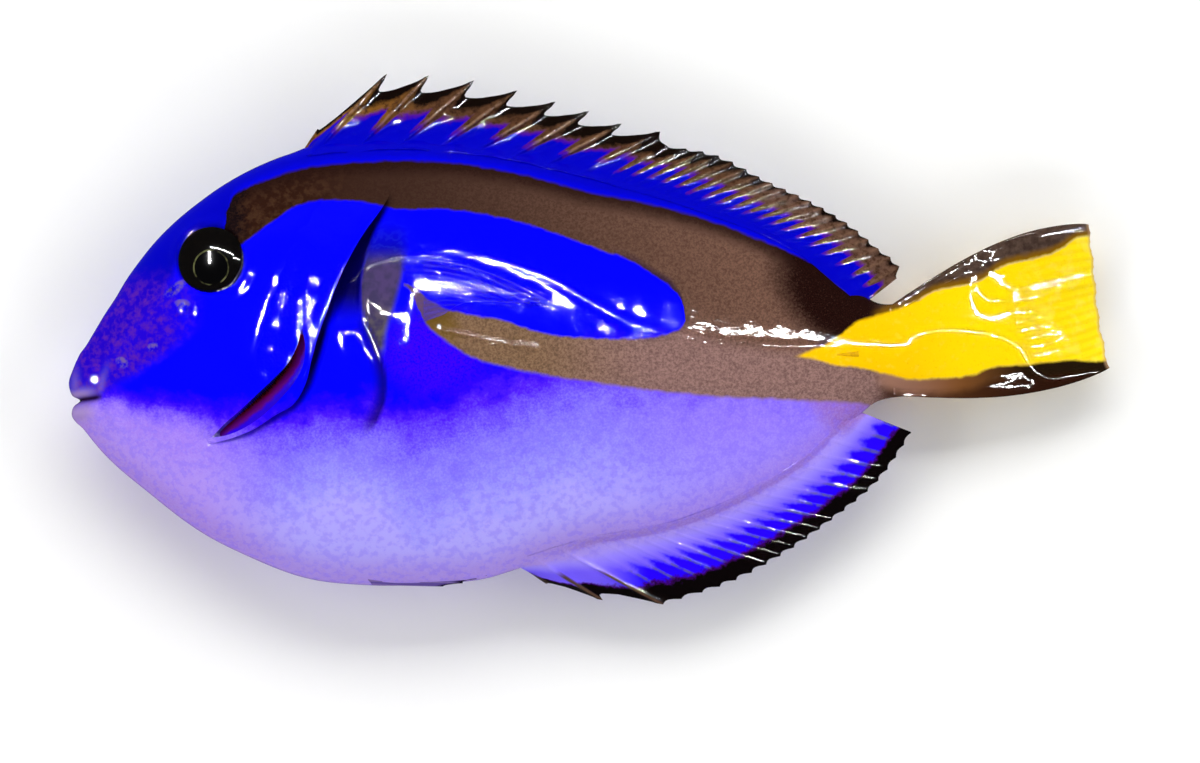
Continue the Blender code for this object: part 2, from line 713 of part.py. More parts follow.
def make_head(head, jaw):
    """Sockets, eyes, nostrils and lips of the head and lower jaw."""
    for side_name, side in (("left", 1), ("right", -1)):
        cut_gill_cover(head, side_name, side)
        combine(head, eye_ball("socket", side, GAP), "DIFFERENCE")
        eye_ball(f"{side_name}_eye", side)
        for place, radius in NOSTRILS:
            combine(head, pit(place, radius, side), "DIFFERENCE")
    combine(head, lip("upper lip", UPPER_LIP), "UNION")
    keep_part(head, size_of)
    combine(jaw, lip("lower lip", LOWER_LIP), "UNION")
    keep_part(jaw, size_of)


def make_rear(trunk, stalk):
    """Room for the lower pectoral fin in the trunk, and the blades of the tail stalk."""
    combine(trunk, pectoral_hollow(), "DIFFERENCE")
    keep_part(trunk, size_of)
    for side_name, side in (("left", 1), ("right", -1)):
        combine(stalk, tail_blade("groove", side, GAP), "DIFFERENCE")
        tail_blade(f"{side_name}_tail_spine", side)
        make_pectoral_fin(f"{side_name}_pectoral_fin", side)
        make_pelvic_fin(f"{side_name}_pelvic_fin", side)
    keep_part(stalk, size_of)


def set_on_floor():
    """Move the whole fish onto the floor, with the middle of its outline at the origin."""
    corners = np.array([vertex.co for thing in fish.objects for vertex in thing.data.vertices])
    middle = (corners.max(axis=0) + corners.min(axis=0)) / 2
    holder = bpy.data.objects.new("fish_place", None)
    bpy.context.scene.collection.objects.link(holder)
    holder.location = (-middle[0], -middle[1], REST_HEIGHT * MM)
    for thing in fish.objects:
        thing.parent = holder


clear_scene()
fish = bpy.data.collections.new("regal blue tang")
bpy.context.scene.collection.children.link(fish)
body = part_body()
make_head(body["head"], body["lower_jaw"])
make_rear(body["trunk"], body["tail_stalk"])
make_dorsal_fin()
make_anal_fin()
make_tail_fin()
set_on_floor()
for thing in fish.objects:
    print(thing.name, len(thing.data.vertices), "vertices", len(thing.data.polygons), "faces")
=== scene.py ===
# %% [markdown]
# # A young regal blue tang, lying on its right side
#
# The solids of this fish are already packed, as plain parted bodies. This notebook dresses
# them: one unbroken wet skin, thin gill covers, glossy eyes and fins with real rays.
# Everything is measured in millimetres on the fish itself: x runs from the snout to the tail,
# y from the belly to the back and z from the right flank to the left one.

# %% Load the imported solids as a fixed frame
import math

import bpy
import numpy as np
from mathutils import Matrix, Vector


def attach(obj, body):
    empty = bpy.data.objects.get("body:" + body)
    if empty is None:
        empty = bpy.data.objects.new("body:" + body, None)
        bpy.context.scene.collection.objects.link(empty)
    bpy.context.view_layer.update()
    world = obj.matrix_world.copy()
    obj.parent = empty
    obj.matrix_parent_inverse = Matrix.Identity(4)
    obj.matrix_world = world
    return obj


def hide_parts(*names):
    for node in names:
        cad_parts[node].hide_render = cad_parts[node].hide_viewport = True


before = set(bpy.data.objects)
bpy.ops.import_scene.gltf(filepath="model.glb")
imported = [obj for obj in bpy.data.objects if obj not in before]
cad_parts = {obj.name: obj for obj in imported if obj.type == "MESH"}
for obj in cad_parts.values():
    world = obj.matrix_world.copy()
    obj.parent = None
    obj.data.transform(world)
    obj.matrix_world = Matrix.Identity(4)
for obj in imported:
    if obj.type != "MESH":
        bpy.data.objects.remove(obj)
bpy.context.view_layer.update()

# %% [markdown]
# ## Measures and small helpers
#
# The frame is in metres, with the floor at z = 0 and its origin under the middle of the fish.
# `on_floor` carries a place on the fish into it, and `on_fish` back again. `smooth_line` draws a
# smooth line through a few points, which is how the outline of the body is written down.

# %% Places on the fish, and lines through points
MM = 0.001
FISH_ORIGIN = np.array([-43.69, -2.16, 5.5])


def on_floor(places):
    """Places on the fish in millimetres, as places in the frame in metres."""
    return (np.asarray(places, float) + FISH_ORIGIN) * MM


def on_fish(places):
    """The other way round: metres in the frame, as millimetres on the fish."""
    return np.asarray(places, float) / MM - FISH_ORIGIN


def smooth_line(points):
    """y as a smooth function of x, through points that run in order of x."""
    xs, ys = (np.array(axis, float) for axis in zip(*points))
    slopes = np.gradient(ys, xs)

    def height(x):
        x = np.asarray(x, float)
        i = np.clip(np.searchsorted(xs, x) - 1, 0, len(xs) - 2)
        step = xs[i + 1] - xs[i]
        t = np.clip((x - xs[i]) / step, 0.0, 1.0)
        start = (1 + 2 * t) * (1 - t) ** 2 * ys[i] + t * (1 - t) ** 2 * step * slopes[i]
        end = t * t * (3 - 2 * t) * ys[i + 1] + t * t * (t - 1) * step * slopes[i + 1]
        return start + end

    return height


def smooth_path(points):
    """Points at shares from 0 to 1 of the length of a line drawn in side view."""
    corners = np.array(points, float)
    steps = np.linalg.norm(np.diff(corners, axis=0), axis=1)
    along = np.concatenate(([0.0], np.cumsum(steps))) / steps.sum()
    x_at, y_at = (smooth_line(list(zip(along, corners[:, axis]))) for axis in (0, 1))
    return lambda share: np.stack((x_at(share), y_at(share)), axis=-1)


def fade(value, low, high):
    """A soft step: 0 at low, 1 at high."""
    t = np.clip((np.asarray(value, float) - low) / (high - low), 0.0, 1.0)
    return t * t * (3 - 2 * t)


def span(value, start, full, waning, end):
    """A soft stretch: 0 before start, 1 from full to waning, and 0 again after end."""
    return fade(value, start, full) * (1 - fade(value, waning, end))


def hill(value, middle, reach):
    """A soft hump of height 1 round a middle."""
    return np.exp(-((np.asarray(value, float) - middle) / reach) ** 2)


def wobble(x, y, seed, size):
    """A slow, uneven wave, the same each time."""
    total = np.zeros_like(x)
    for i in range(4):
        angle = seed + 2.4 * i
        way = x * math.cos(angle) + y * math.sin(angle)
        total += np.sin(way * (1.0 + 0.45 * i) / size + 1.7 * i + seed)
    return total / 4


FLOOR_LEVEL = -5.48
PRESS = 0.5


def rest(z, room=0.0):
    """Press what would sink into the floor softly flat, with some room left below it."""
    level = FLOOR_LEVEL + room
    pressed = level + PRESS * np.exp(np.minimum(z - level - PRESS, 0) / PRESS)
    return np.where(z < level + PRESS, pressed, z)


# %% Helpers for pieces
def deselect():
    if bpy.context.mode != "OBJECT":
        bpy.ops.object.mode_set(mode="OBJECT")
    bpy.ops.object.select_all(action="DESELECT")


def pick(piece):
    """Make one piece the only one that the operators act on."""
    deselect()
    piece.select_set(True)
    bpy.context.view_layer.objects.active = piece


def use_modifier(piece, kind, **settings):
    """Add a modifier, set it and apply it at once."""
    pick(piece)
    modifier = piece.modifiers.new(kind.title(), kind)
    for name, value in settings.items():
        setattr(modifier, name, value)
    bpy.ops.object.modifier_apply(modifier=modifier.name)


def read_points(piece, what="co"):
    """The places of a piece's points as they stand in its mesh, or their normals."""
    values = np.empty(len(piece.data.vertices) * 3)
    piece.data.vertices.foreach_get(what, values)
    return values.reshape(-1, 3)


def set_places(piece, places):
    """Put the points of a piece at places on the fish."""
    piece.data.vertices.foreach_set("co", on_floor(places).astype(np.float32).ravel())
    piece.data.update()


def set_attribute(piece, name, values):
    """Store one number a vertex, which a material can read."""
    attribute = piece.data.attributes.new(name, "FLOAT", "POINT")
    attribute.data.foreach_set("value", np.asarray(values, np.float32))


def own_place(piece):
    """Bring the object to the origin and leave its place in its mesh."""
    pick(piece)
    bpy.ops.object.transform_apply(location=True, rotation=True, scale=True)


def edit_all(piece):
    """Open a piece in edit mode with everything selected."""
    pick(piece)
    bpy.ops.object.mode_set(mode="EDIT")
    bpy.ops.mesh.select_all(action="SELECT")


def face_outwards(piece):
    edit_all(piece)
    bpy.ops.mesh.normals_make_consistent(inside=False)
    bpy.ops.object.mode_set(mode="OBJECT")


SIDES = (("left", 1), ("right", -1))


def hand_over(piece, name, finish, slot, *nodes):
    """Name a finished piece, dress it and tell the frame which solids it stands for."""
    piece.name = name
    piece.data.materials.clear()
    piece.data.materials.append(finish)
    pick(piece)
    bpy.ops.object.shade_smooth()
    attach(piece, "root")
    if nodes:
        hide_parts(*nodes)
    print(name, len(piece.data.polygons), "faces, stands for", nodes or "nothing")


# %% [markdown]
# ## Camera, floor and light
#
# A fish on a table is looked at from straight above. A long lens from a metre away keeps its
# outline true. The skin is wet, so what it mirrors matters as much as its colour: soft boxes
# light the fish from all round but are left out of its reflections, so that the blue stays
# deep. What the skin does mirror are three thin, bright tubes high above it, which break up
# into the white lines that a wet fish shows.

# %% Place the camera
FRAME_WIDTH = 101.3
CAMERA_DISTANCE = 1000.0
LOOK_AT = (44.53, -1.66, 0.0)
ROLL = math.radians(-2.51)

deselect()
bpy.ops.object.camera_add(location=on_floor(LOOK_AT) + np.array([0, 0, CAMERA_DISTANCE * MM]),
                          rotation=(0, 0, ROLL))
camera = bpy.context.object
camera.data.lens = camera.data.sensor_width * CAMERA_DISTANCE / FRAME_WIDTH
bpy.context.scene.camera = camera
bpy.context.scene.view_settings.view_transform = "Standard"

# %% Lay the pale floor
FLOOR_SIZE = 8.0
FLOOR_GAP = 0.0002
GLOW_START, GLOW_FULL = 0.9, 1.5

deselect()
bpy.ops.mesh.primitive_plane_add(size=FLOOR_SIZE, location=(0, 0, -FLOOR_GAP))
floor = bpy.context.object
floor.name = "pale_floor"
own_place(floor)
floor_finish = bpy.data.materials.new("pale floor")
floor_finish.use_nodes = True
floor_shader = floor_finish.node_tree.nodes["Principled BSDF"]
floor_shader.inputs["Base Color"].default_value = (0.93, 0.93, 0.92, 1)
floor_shader.inputs["Roughness"].default_value = 0.9
floor_shader.inputs["Specular IOR Level"].default_value = 0.1
# Beyond the lamps the floor shines a little by itself, so that it stays pale to its far end
tree = floor_finish.node_tree
floor_place = tree.nodes.new("ShaderNodeTexCoord")
far_out = tree.nodes.new("ShaderNodeVectorMath")
far_out.operation = "LENGTH"
far_glow = tree.nodes.new("ShaderNodeMapRange")
far_glow.inputs["From Min"].default_value = GLOW_START
far_glow.inputs["From Max"].default_value = GLOW_FULL
tree.links.new(floor_place.outputs["Object"], far_out.inputs[0])
tree.links.new(far_out.outputs["Value"], far_glow.inputs["Value"])
tree.links.new(far_glow.outputs["Result"], floor_shader.inputs["Emission Color"])
floor_shader.inputs["Emission Strength"].default_value = 1.0
floor.data.materials.append(floor_finish)
floor.visible_glossy = False


# %% Hang the lights
def panel(name, place, size, strength, turn=0.0):
    """A lamp panel that faces the fish; strength is its brightness, whatever its size."""
    deselect()
    bpy.ops.object.light_add(type="AREA", location=place)
    lamp = bpy.context.object
    lamp.name = name
    lamp.data.shape = "RECTANGLE"
    lamp.data.size, lamp.data.size_y = size
    lamp.data.energy = strength * size[0] * size[1] * math.pi
    away = Vector(place).normalized()
    long_side = Vector((math.cos(math.radians(turn)), math.sin(math.radians(turn)), 0.0))
    short_side = away.cross(long_side).normalized()
    lamp.rotation_euler = Matrix((short_side.cross(away), short_side, away)).transposed().to_euler()
    return lamp


for box in (panel("top side", (0.0, 0.85, 0.75), (1.5, 0.5), 5.2),
            panel("low side", (0.0, -0.95, 0.6), (1.5, 0.4), 3.4),
            panel("snout side", (-0.95, 0.0, 0.7), (0.4, 1.2), 3.3),
            panel("tail side", (0.95, 0.1, 0.7), (0.4, 1.2), 3.3)):
    box.visible_glossy = False
for tube in (panel("long tube", (0.015, 0.233, 0.9), (0.50, 0.004), 1600.0, turn=-16),
             panel("tail tube", (0.44, 0.085, 0.9), (0.40, 0.003), 2000.0, turn=-6),
             panel("cross tube", (-0.24, 0.12, 0.9), (0.18, 0.020), 1500.0, turn=90)):
    tube.visible_diffuse = False
room = bpy.data.worlds.new("dim room")
room.use_nodes = True
dim_light = room.node_tree.nodes["Background"]
dim_light.inputs["Color"].default_value = (1, 1, 1, 1)
dim_light.inputs["Strength"].default_value = 0.08
bpy.context.scene.world = room

# %% [markdown]
# ## The body, drawn as rings
#
# A tang is deep and thin, like a plate on edge. Its body is drawn the way a boat's hull is: a
# ring at the snout is extruded again and again towards the tail, and each new ring is resized
# to the depth and width that the fish has there. A subdivision surface then rounds it, and
# the finer forms are pushed in afterwards, where there are enough points to hold them.

# %% The body's outline
BACK = [(0, 1.2), (2, 4.3), (4.6, 8.2), (7.1, 11.3), (11.9, 15.3), (17.1, 18.0), (20.1, 18.9),
        (25, 19.3), (31, 19.1), (37, 18.1), (45.3, 15.8), (53.6, 12.9), (61.9, 8.9),
        (66.5, 4.9), (68, 4.0), (70, 3.85), (72.5, 5.2), (75.5, 6.8), (80, 8.8)]
BELLY = [(0, -2.6), (2, -5.4), (6.2, -9.5), (10.2, -12.8), (14.4, -15.2), (18.5, -17.0),
         (24.4, -18.0), (30, -18.1), (34.5, -17.8), (38.6, -16.5), (42.2, -15.6), (50.7, -14.2),
         (56.5, -12.1), (61.7, -9.2), (65.2, -6.1), (67.5, -4.5), (70, -4.05),
         (72.5, -4.25), (76, -4.35), (80, -4.15)]
HALF_WIDTH = [(0, 0.8), (2, 1.9), (4.6, 3.0), (8, 4.1), (12, 4.9), (18, 5.7), (24, 6.0),
              (31, 6.0), (38, 5.7), (46, 4.9), (54, 3.8), (60, 2.9), (64, 2.3), (67, 1.85),
              (70, 1.45), (72, 0.92), (74, 0.56), (76, 0.34), (78, 0.2), (80, 0.1)]
back_at = smooth_line(BACK)
belly_at = smooth_line(BELLY)
half_width_at = smooth_line(HALF_WIDTH)

SNOUT_START = 0.45
BODY_END = 80.0
RING_POINTS = 56
SNOUT_CAP = [(0.12, 0.04), (0.14, 0.3), (0.2, 0.55), (0.28, 0.78), (0.38, 0.93)]
TAIL_CAP = [(80.1, 0.6), (80.15, 0.1)]
TAIL_START = 70.3
TAIL_LENGTH = 17.0
TAIL_DROOP = 3.4
TAIL_FOLDS = [[(68.0, 1.1), (76.1, 1.1), (78.0, 0.65), (80.0, -0.4), (80.8, -1.8), (82.0, -2.7),
               (86.7, -2.7)],
              [(80.8, 3.7), (82.8, 4.0), (84.5, 4.7), (86.6, 5.1)],
              [(83.0, 1.8), (83.5, 1.1), (84.3, 0.8), (85.2, 1.0), (86.4, 2.0)],
              [(77.3, 7.0), (76.9, 5.5), (77.0, 4.6), (77.5, 3.8), (78.8, 3.7)]]


def ring_at(x, share=1.0):
    """Middle, half depth and half width of the body's ring at a place along the fish."""
    x = min(max(x, SNOUT_START), BODY_END)
    top, bottom = float(back_at(x)), float(belly_at(x))
    return (top + bottom) / 2, (top - bottom) / 2 * share, float(half_width_at(x)) * share


def tail_sink(x, y):
    """How far the tail hangs from the mid-plane towards the floor, in slow waves."""
    along = np.clip((x - TAIL_START) / TAIL_LENGTH, 0, 1)
    wave = 0.35 * np.sin(0.55 * y + 3.0 * along) * along ** 2
    wave += 0.22 * wobble(x, y, 0.6, 3.0) * along
    for fold in TAIL_FOLDS:
        wave += 0.12 * hill(edge_gap(x, y, fold)[0], 0, 0.6) * fade(x, 70.0, 73.0)
    return wave - TAIL_DROOP * along ** 1.6


# %% Extrude the rings with the operators
STATIONS = 84

shares = np.linspace(0.0, 1.0, STATIONS)
places_along = SNOUT_START + (BODY_END - SNOUT_START) * (0.42 * shares + 0.58 * shares ** 1.7)
stations = SNOUT_CAP + [(float(x), 1.0) for x in places_along] + TAIL_CAP

deselect()
last_x, share = stations[0]
middle, half_depth, half_width = ring_at(last_x, share)
bpy.ops.mesh.primitive_circle_add(vertices=RING_POINTS, radius=MM, rotation=(0, math.pi / 2, 0),
                                  location=on_floor((last_x, middle, 0)))
skin = bpy.context.object
own_place(skin)
edit_all(skin)
bpy.ops.transform.resize(value=(1, half_depth, half_width),
                         center_override=on_floor((last_x, middle, 0)))
for x, share in stations[1:]:
    new_middle, new_depth, new_width = ring_at(x, share)
    move = Vector((x - last_x, new_middle - middle, 0)) * MM
    bpy.ops.mesh.extrude_region_move(TRANSFORM_OT_translate={"value": move})
    bpy.ops.transform.resize(value=(1, new_depth / half_depth, new_width / half_width),
                             center_override=on_floor((x, new_middle, 0)))
    last_x, middle, half_depth, half_width = x, new_middle, new_depth, new_width
bpy.ops.mesh.select_all(action="SELECT")
bpy.ops.mesh.fill_holes(sides=RING_POINTS)
bpy.ops.mesh.normals_make_consistent(inside=False)
bpy.ops.object.mode_set(mode="OBJECT")
use_modifier(skin, "SUBSURF", levels=2, render_levels=2)
print("the skin has", len(skin.data.vertices), "points")

# %% [markdown]
# ## Sculpting the skin
#
# The smooth hull is laid back onto its exact rings first. Then every form that a hand would
# press into clay is written as a height over it: the cheek, the pad of the shoulder, the root
# of the pectoral fin, the lips round a small mouth, the nostrils, the socket of the eye, the
# pocket under the gill cover and the fleshy ridges that carry the fins. The right flank ends
# flat, because the fish rests on it.

# %% Heights over the flank
CHEEK = [((20.0, 5.0), (10.0, 13.0), 0.45)]
SHOULDER = [((24.6, 1.5), (5.0, 9.0), 0.5), ((26.4, 6.4), (3.0, 4.6), 0.35)]
EYE_PLACE = (12.35, 9.93)
EYE_RADIUS = 2.85
NOSTRILS = [((8.75, 7.55), 0.34), ((10.05, 5.85), 0.42)]
GILL_EDGE = [(28.5, 16.4), (27.0, 13.9), (25.1, 11.4), (23.2, 8.2), (22.0, 5.4), (21.1, 3.2),
             (20.45, 1.2), (19.8, -0.9), (18.7, -2.5), (17.2, -3.3), (15.3, -4.4), (13.3, -5.1),
             (11.2, -5.5), (9.6, -5.7)]
SLIT_UPPER = [(19.75, 4.0), (19.3, 2.5), (18.5, 1.1), (17.2, -0.2), (15.7, -1.5), (14.1, -2.85),
              (12.9, -3.8), (11.7, -4.95)]
SLIT_LOWER = [(11.7, -4.95), (13.0, -4.8), (14.7, -4.15), (16.2, -3.2), (17.8, -1.8), (19.05, -0.4),
              (19.75, 0.95), (19.95, 2.4), (19.75, 4.0)]


def swelling(x, y, mounds):
    """Height of soft mounds at places in side view."""
    total = np.zeros_like(x)
    for (middle_x, middle_y), (reach_x, reach_y), height in mounds:
        near = 1 - ((x - middle_x) / reach_x) ** 2 - ((y - middle_y) / reach_y) ** 2
        total += height * np.clip(near, 0, None) ** 2
    return total


def flank(x, y, mounds=CHEEK + SHOULDER):
    """Distance of the left flank from the mid-plane at places in side view."""
    x, y = np.asarray(x, float), np.asarray(y, float)
    top, bottom = back_at(x), belly_at(x)
    level = (2 * y - top - bottom) / (top - bottom)
    return half_width_at(x) * np.sqrt(np.clip(1 - level ** 2, 0, 1)) + swelling(x, y, mounds)


def edge_gap(x, y, path_points, steps=120):
    """Distance to a line drawn in side view, positive on its left hand, and the share along it."""
    path = smooth_path(path_points)(np.linspace(0, 1, steps))
    start, way = path[:-1], np.diff(path, axis=0)
    best = np.full(x.shape, 1e9)
    side = np.zeros_like(best)
    share = np.zeros_like(best)
    for i, (point, step) in enumerate(zip(start, way)):
        reach = np.clip(((x - point[0]) * step[0] + (y - point[1]) * step[1]) / step.dot(step), 0, 1)
        dx, dy = x - point[0] - step[0] * reach, y - point[1] - step[1] * reach
        gap = np.hypot(dx, dy)
        closer = gap < best
        best = np.where(closer, gap, best)
        side = np.where(closer, np.sign(step[0] * dy - step[1] * dx), side)
        share = np.where(closer, (i + reach) / (steps - 1), share)
    return best * side, share


# %% Lay the skin onto its exact rings
x, y, z = on_fish(read_points(skin)).T
hull = x > SNOUT_START
top, bottom, wide = back_at(x), belly_at(x), half_width_at(x)
middle, half_depth = (top + bottom) / 2, (top - bottom) / 2
level = (y - middle) / half_depth
turn = np.arctan2(level, z / wide)
shrink = np.where(x > BODY_END, np.hypot(level, z / wide), 1.0)
y = np.where(hull, middle + half_depth * np.sin(turn) * shrink, y)
lens = 1 + 0.9 * fade(x, 68.5, 73.0)
z = np.where(hull, wide * np.sign(np.cos(turn)) * np.abs(np.cos(turn)) ** lens * shrink, z)
side = np.sign(np.where(np.abs(z) < 1e-6, 1e-6, z))
z = z + side * swelling(x, y, CHEEK + SHOULDER) * np.abs(np.cos(turn)) ** 0.5
z = z + np.where(x > TAIL_START, tail_sink(x, y), 0)
set_places(skin, np.stack((x, y, z), axis=1))

# %% Press the mouth in between its lips, along the skin's own direction
MOUTH_START, MOUTH_SLOPE = -1.4, 0.12
LIPS = [(0.42, 1.5, 1.15), (0.40, -1.15, 0.75)]
MOUTH_DEPTH = 0.62
CORNER_CREASE = 0.08
JAW_FOLD = 0.10

places = on_fish(read_points(skin))
normals = read_points(skin, "normal")
x, y, z = places.T
push = np.zeros_like(x)
above_mouth = y - (MOUTH_START + MOUTH_SLOPE * x)
lip_end = 1 - fade(x, 0.9, 2.7)
for rise, middle, reach in LIPS:
    push += rise * hill(above_mouth, middle, reach) * lip_end
push -= MOUTH_DEPTH * hill(above_mouth, 0.0, 0.30) * (1 - fade(x, 1.9, 2.8))
corner = hill(x - 0.25 * np.abs(above_mouth), 1.9, 0.45)
push -= CORNER_CREASE * corner * fade(above_mouth, 0.1, 0.8)
jaw = hill(x + 0.45 * above_mouth, 2.6, 0.5)
push += JAW_FOLD * jaw * fade(above_mouth, -3.6, -2.4)

# %% Sink the nostrils and the sockets of the eyes
NOSTRIL_RIM, NOSTRIL_DEPTH = 0.10, 0.55
SOCKET_RIM, SOCKET_DEPTH = 0.16, 1.0

on_flank = fade(np.abs(normals[:, 2]), 0.2, 0.5)
for (pit_x, pit_y), radius in NOSTRILS:
    gap = np.hypot(x - pit_x, y - pit_y)
    rim = NOSTRIL_RIM * hill(gap, radius * 1.5, 0.16)
    push += on_flank * (rim - NOSTRIL_DEPTH * hill(gap, 0, radius * 0.75))
eye_gap = np.hypot(x - EYE_PLACE[0], y - EYE_PLACE[1])
rim = SOCKET_RIM * hill(eye_gap, EYE_RADIUS + 0.35, 0.4)
push += on_flank * (rim - SOCKET_DEPTH * (1 - fade(eye_gap, 2.2, 2.9)))

# %% Sink the pocket under the gill cover, and the slit below it
COVER_POCKET = 0.55
SLIT_DEPTH = 0.9

edge, along = edge_gap(x, y, GILL_EDGE)
edge = -edge
open_part = span(along, 0.04, 0.12, 0.55, 0.95)
under_cover = np.where(edge > 0, 1 - fade(edge, 1.5, 5.5), hill(edge, 0, 0.55))
push -= on_flank * open_part * COVER_POCKET * under_cover
slit_gap, _ = edge_gap(x, y, SLIT_UPPER)
slit_open = hill(slit_gap, 0.7, 1.0) * span(y, -5.6, -4.4, 3.2, 4.4)
push -= on_flank * slit_open * SLIT_DEPTH

# %% Raise the pad of the shoulder, and sink the dark pocket between its top and the gill cover
PAD_BORDER = [(26.4, 12.6), (25.6, 10.4), (24.9, 8.0), (24.8, 5.6), (25.4, 3.4), (26.1, 1.5),
              (26.5, -0.7), (26.2, -2.9), (25.3, -4.5), (24.3, -5.4)]
PAD_RISE = 0.11
PAD_GROOVE = 0.16
PAD_POCKET = 0.85
POCKET_END = 0.6

pad_gap, pad_along = edge_gap(x, y, PAD_BORDER)
pad_gap = -pad_gap
pad_part = span(pad_along, 0.35, 0.5, 0.9, 1.0) * on_flank
push += PAD_RISE * pad_part * np.where(pad_gap > 0, span(pad_gap, 0.0, 1.2, 2.5, 5.0), 0)
push -= PAD_GROOVE * pad_part * hill(pad_gap, -0.1, 0.5)
pocket = span(y, 3.4, 7.2, 12.2, 14.0) * (edge < POCKET_END) * fade(pad_gap, -0.35, 0.5)
push -= on_flank * PAD_POCKET * pocket

# %% Draw the side line, and the slow unevenness of a stretched skin
SIDE_LINE = [(27, 11.5), (33, 10.2), (40, 7.6), (47, 3.2), (53, 1.3), (60, 0.6), (70, 0.0)]
SIDE_LINE_RISE = 0.07
UNEVENNESS = 0.0075

side_line = hill(y, smooth_line(SIDE_LINE)(x), 0.35) * span(x, 28, 31, 60, 66)
push += SIDE_LINE_RISE * side_line * on_flank
waves = np.sin(2.2 * x + 1.3 * np.sin(0.7 * y)) * np.sin(1.1 * y + 0.6 * x)
push += UNEVENNESS * waves * on_flank * span(x, 26, 32, 62, 70)
places = places + normals * push[:, None]
print("the finer forms move the skin by up to", np.abs(push).max().round(2), "mm")

# %% Raise the ridges that carry the fins, and rest the right flank on the floor
RIDGE_HEIGHT = 0.3
COVER_ROOM = 0.25

x, y, z = places.T
ridge = hill(z, 0, 0.9)
on_back = ridge * span(x, 19.0, 22.0, 66.0, 68.5) * (y > 0)
on_belly = ridge * span(x, 35.0, 40.0, 65.5, 68.0) * (y < 0)
y = y + RIDGE_HEIGHT * on_back - RIDGE_HEIGHT * on_belly
under_gill_cover = np.where(edge > -0.3, 1 - fade(edge, 5.0, 7.0), 0)
under_gill_cover *= 1 - fade(along, 0.9, 1.0)
z = rest(z, COVER_ROOM * under_gill_cover)
set_places(skin, np.stack((x, y, z), axis=1))

# %% Store where shade is painted in the folds, where the skin is bare at the fin's root, and where the lips and the mouth's line are
ROOT_RIGHT = [(29.0, 13.6), (28.9, 12.0), (28.75, 10.7), (28.5, 8.9), (27.6, 5.6), (26.8, 3.4),
              (26.4, 1.0)]
LIP_FOLD = [(1.9, -1.3), (2.4, -0.5), (2.7, 0.5), (3.2, 1.8)]

# Painted shade, stored as 'fold': near black in the groove along the gill cover's edge, in the pocket
# above the shoulder pad, along the pad's border and down the slit.
fold = np.where(edge > 0, 1 - fade(edge, 0.2, 0.9), hill(edge, 0, 0.4))
shadow = fade(pad_gap, -0.12, 0.2) * (edge < POCKET_END) * span(y, 3.6, 7.0, 12.0, 14.5)
border = 0.8 * pad_part * np.where(pad_gap > 0, hill(pad_gap, 0, 0.75), hill(pad_gap, 0, 0.18))
painted_shade = np.maximum.reduce([fold * open_part, shadow, border]) * on_flank + slit_open
set_attribute(skin, "fold", np.clip(painted_shade, 0, 1))
right_gap, _ = edge_gap(x, y, ROOT_RIGHT)
softness = 0.3 + 0.9 * fade(y, 8.0, 12.0)
grey = (1 - fade(pad_gap, -0.15, 0.2)) * fade(-right_gap / softness, -1, 1) * fade(y, 1.0, 2.2)
grey *= (1 - 0.5 * fade(y, 8.8, 11.0)) * (1 - fade(y, 10.6, 13.4))
set_attribute(skin, "root_skin", grey * on_flank)
lips = np.maximum(hill(above_mouth, 0.45, 0.45), hill(above_mouth, -1.0, 0.75)) * lip_end
lips = np.maximum(lips, 0.3 * hill(x, 0.3, 0.4) * hill(above_mouth, 1.2, 1.3))
lip_fold, _ = edge_gap(x, y, LIP_FOLD, steps=12)
lips = np.maximum(lips, 0.3 * hill(lip_fold, 0, 0.3) * hill(y, 0.0, 1.2))
set_attribute(skin, "lips", lips)
# The mouth's line between the lips, kept so that shade can be painted into it.
set_attribute(skin, "mouth", hill(above_mouth, 0.0, 0.22) * (1 - fade(x, 2.0, 2.7)))
print("the body is", np.ptp(places[:, 0]).round(1), "mm long and", np.ptp(y).round(1), "mm deep")

# %% [markdown]
# ## Words for wiring a material
#
# A procedural material is a small machine of nodes. To keep its wiring short, what comes out
# of a node is held as a `Wire`, and a sum or product of wires adds the Math node that works it
# out. `fish_place` turns Object coordinates into millimetres on the fish, so that all patterns
# share one map and run on from the skin onto the gill covers and the tail.

# %% Wires between nodes
def shade(red, green, blue):
    """A colour as a picture's 0 to 255 numbers give it, made linear for the shader."""
    parts = []
    for part in (red, green, blue):
        part /= 255
        parts.append(part / 12.92 if part <= 0.04045 else ((part + 0.055) / 1.055) ** 2.4)
    return (*parts, 1.0)


def feed(socket, value):
    """Lead a wire into a socket, or set the socket to a number, a vector or a picture's colour."""
    if isinstance(value, Wire):
        socket.id_data.links.new(value.socket, socket)
    else:
        socket.default_value = shade(*value) if socket.type == "RGBA" else value


def maths(operation, *values):
    """A Math node, in the tree of whichever value is a wire."""
    wires = [value for value in values if isinstance(value, Wire)]
    node = wires[0].nodes.new("ShaderNodeMath")
    node.operation = operation
    for socket, value in zip(node.inputs, values):
        feed(socket, value)
    return Wire(node.outputs[0])


class Wire:
    """What comes out of a node. Arithmetic on it adds Math nodes behind it."""

    def __init__(self, socket):
        self.socket = socket
        self.nodes = socket.id_data.nodes

    def __add__(self, other):
        return maths("ADD", self, other)

    def __sub__(self, other):
        return maths("SUBTRACT", self, other)

    def __rsub__(self, other):
        return maths("SUBTRACT", other, self)

    def __mul__(self, other):
        return maths("MULTIPLY", self, other)

    def __truediv__(self, other):
        return maths("DIVIDE", self, other)

    def step(self, low, high):
        """0 at low and 1 at high, softly; low may be the greater of the two."""
        node = self.nodes.new("ShaderNodeMapRange")
        node.interpolation_type = "SMOOTHSTEP"
        feed(node.inputs["Value"], self)
        feed(node.inputs["From Min"], min(low, high))
        feed(node.inputs["From Max"], max(low, high))
        feed(node.inputs["To Min"], float(low > high))
        feed(node.inputs["To Max"], float(low < high))
        return Wire(node.outputs["Result"])


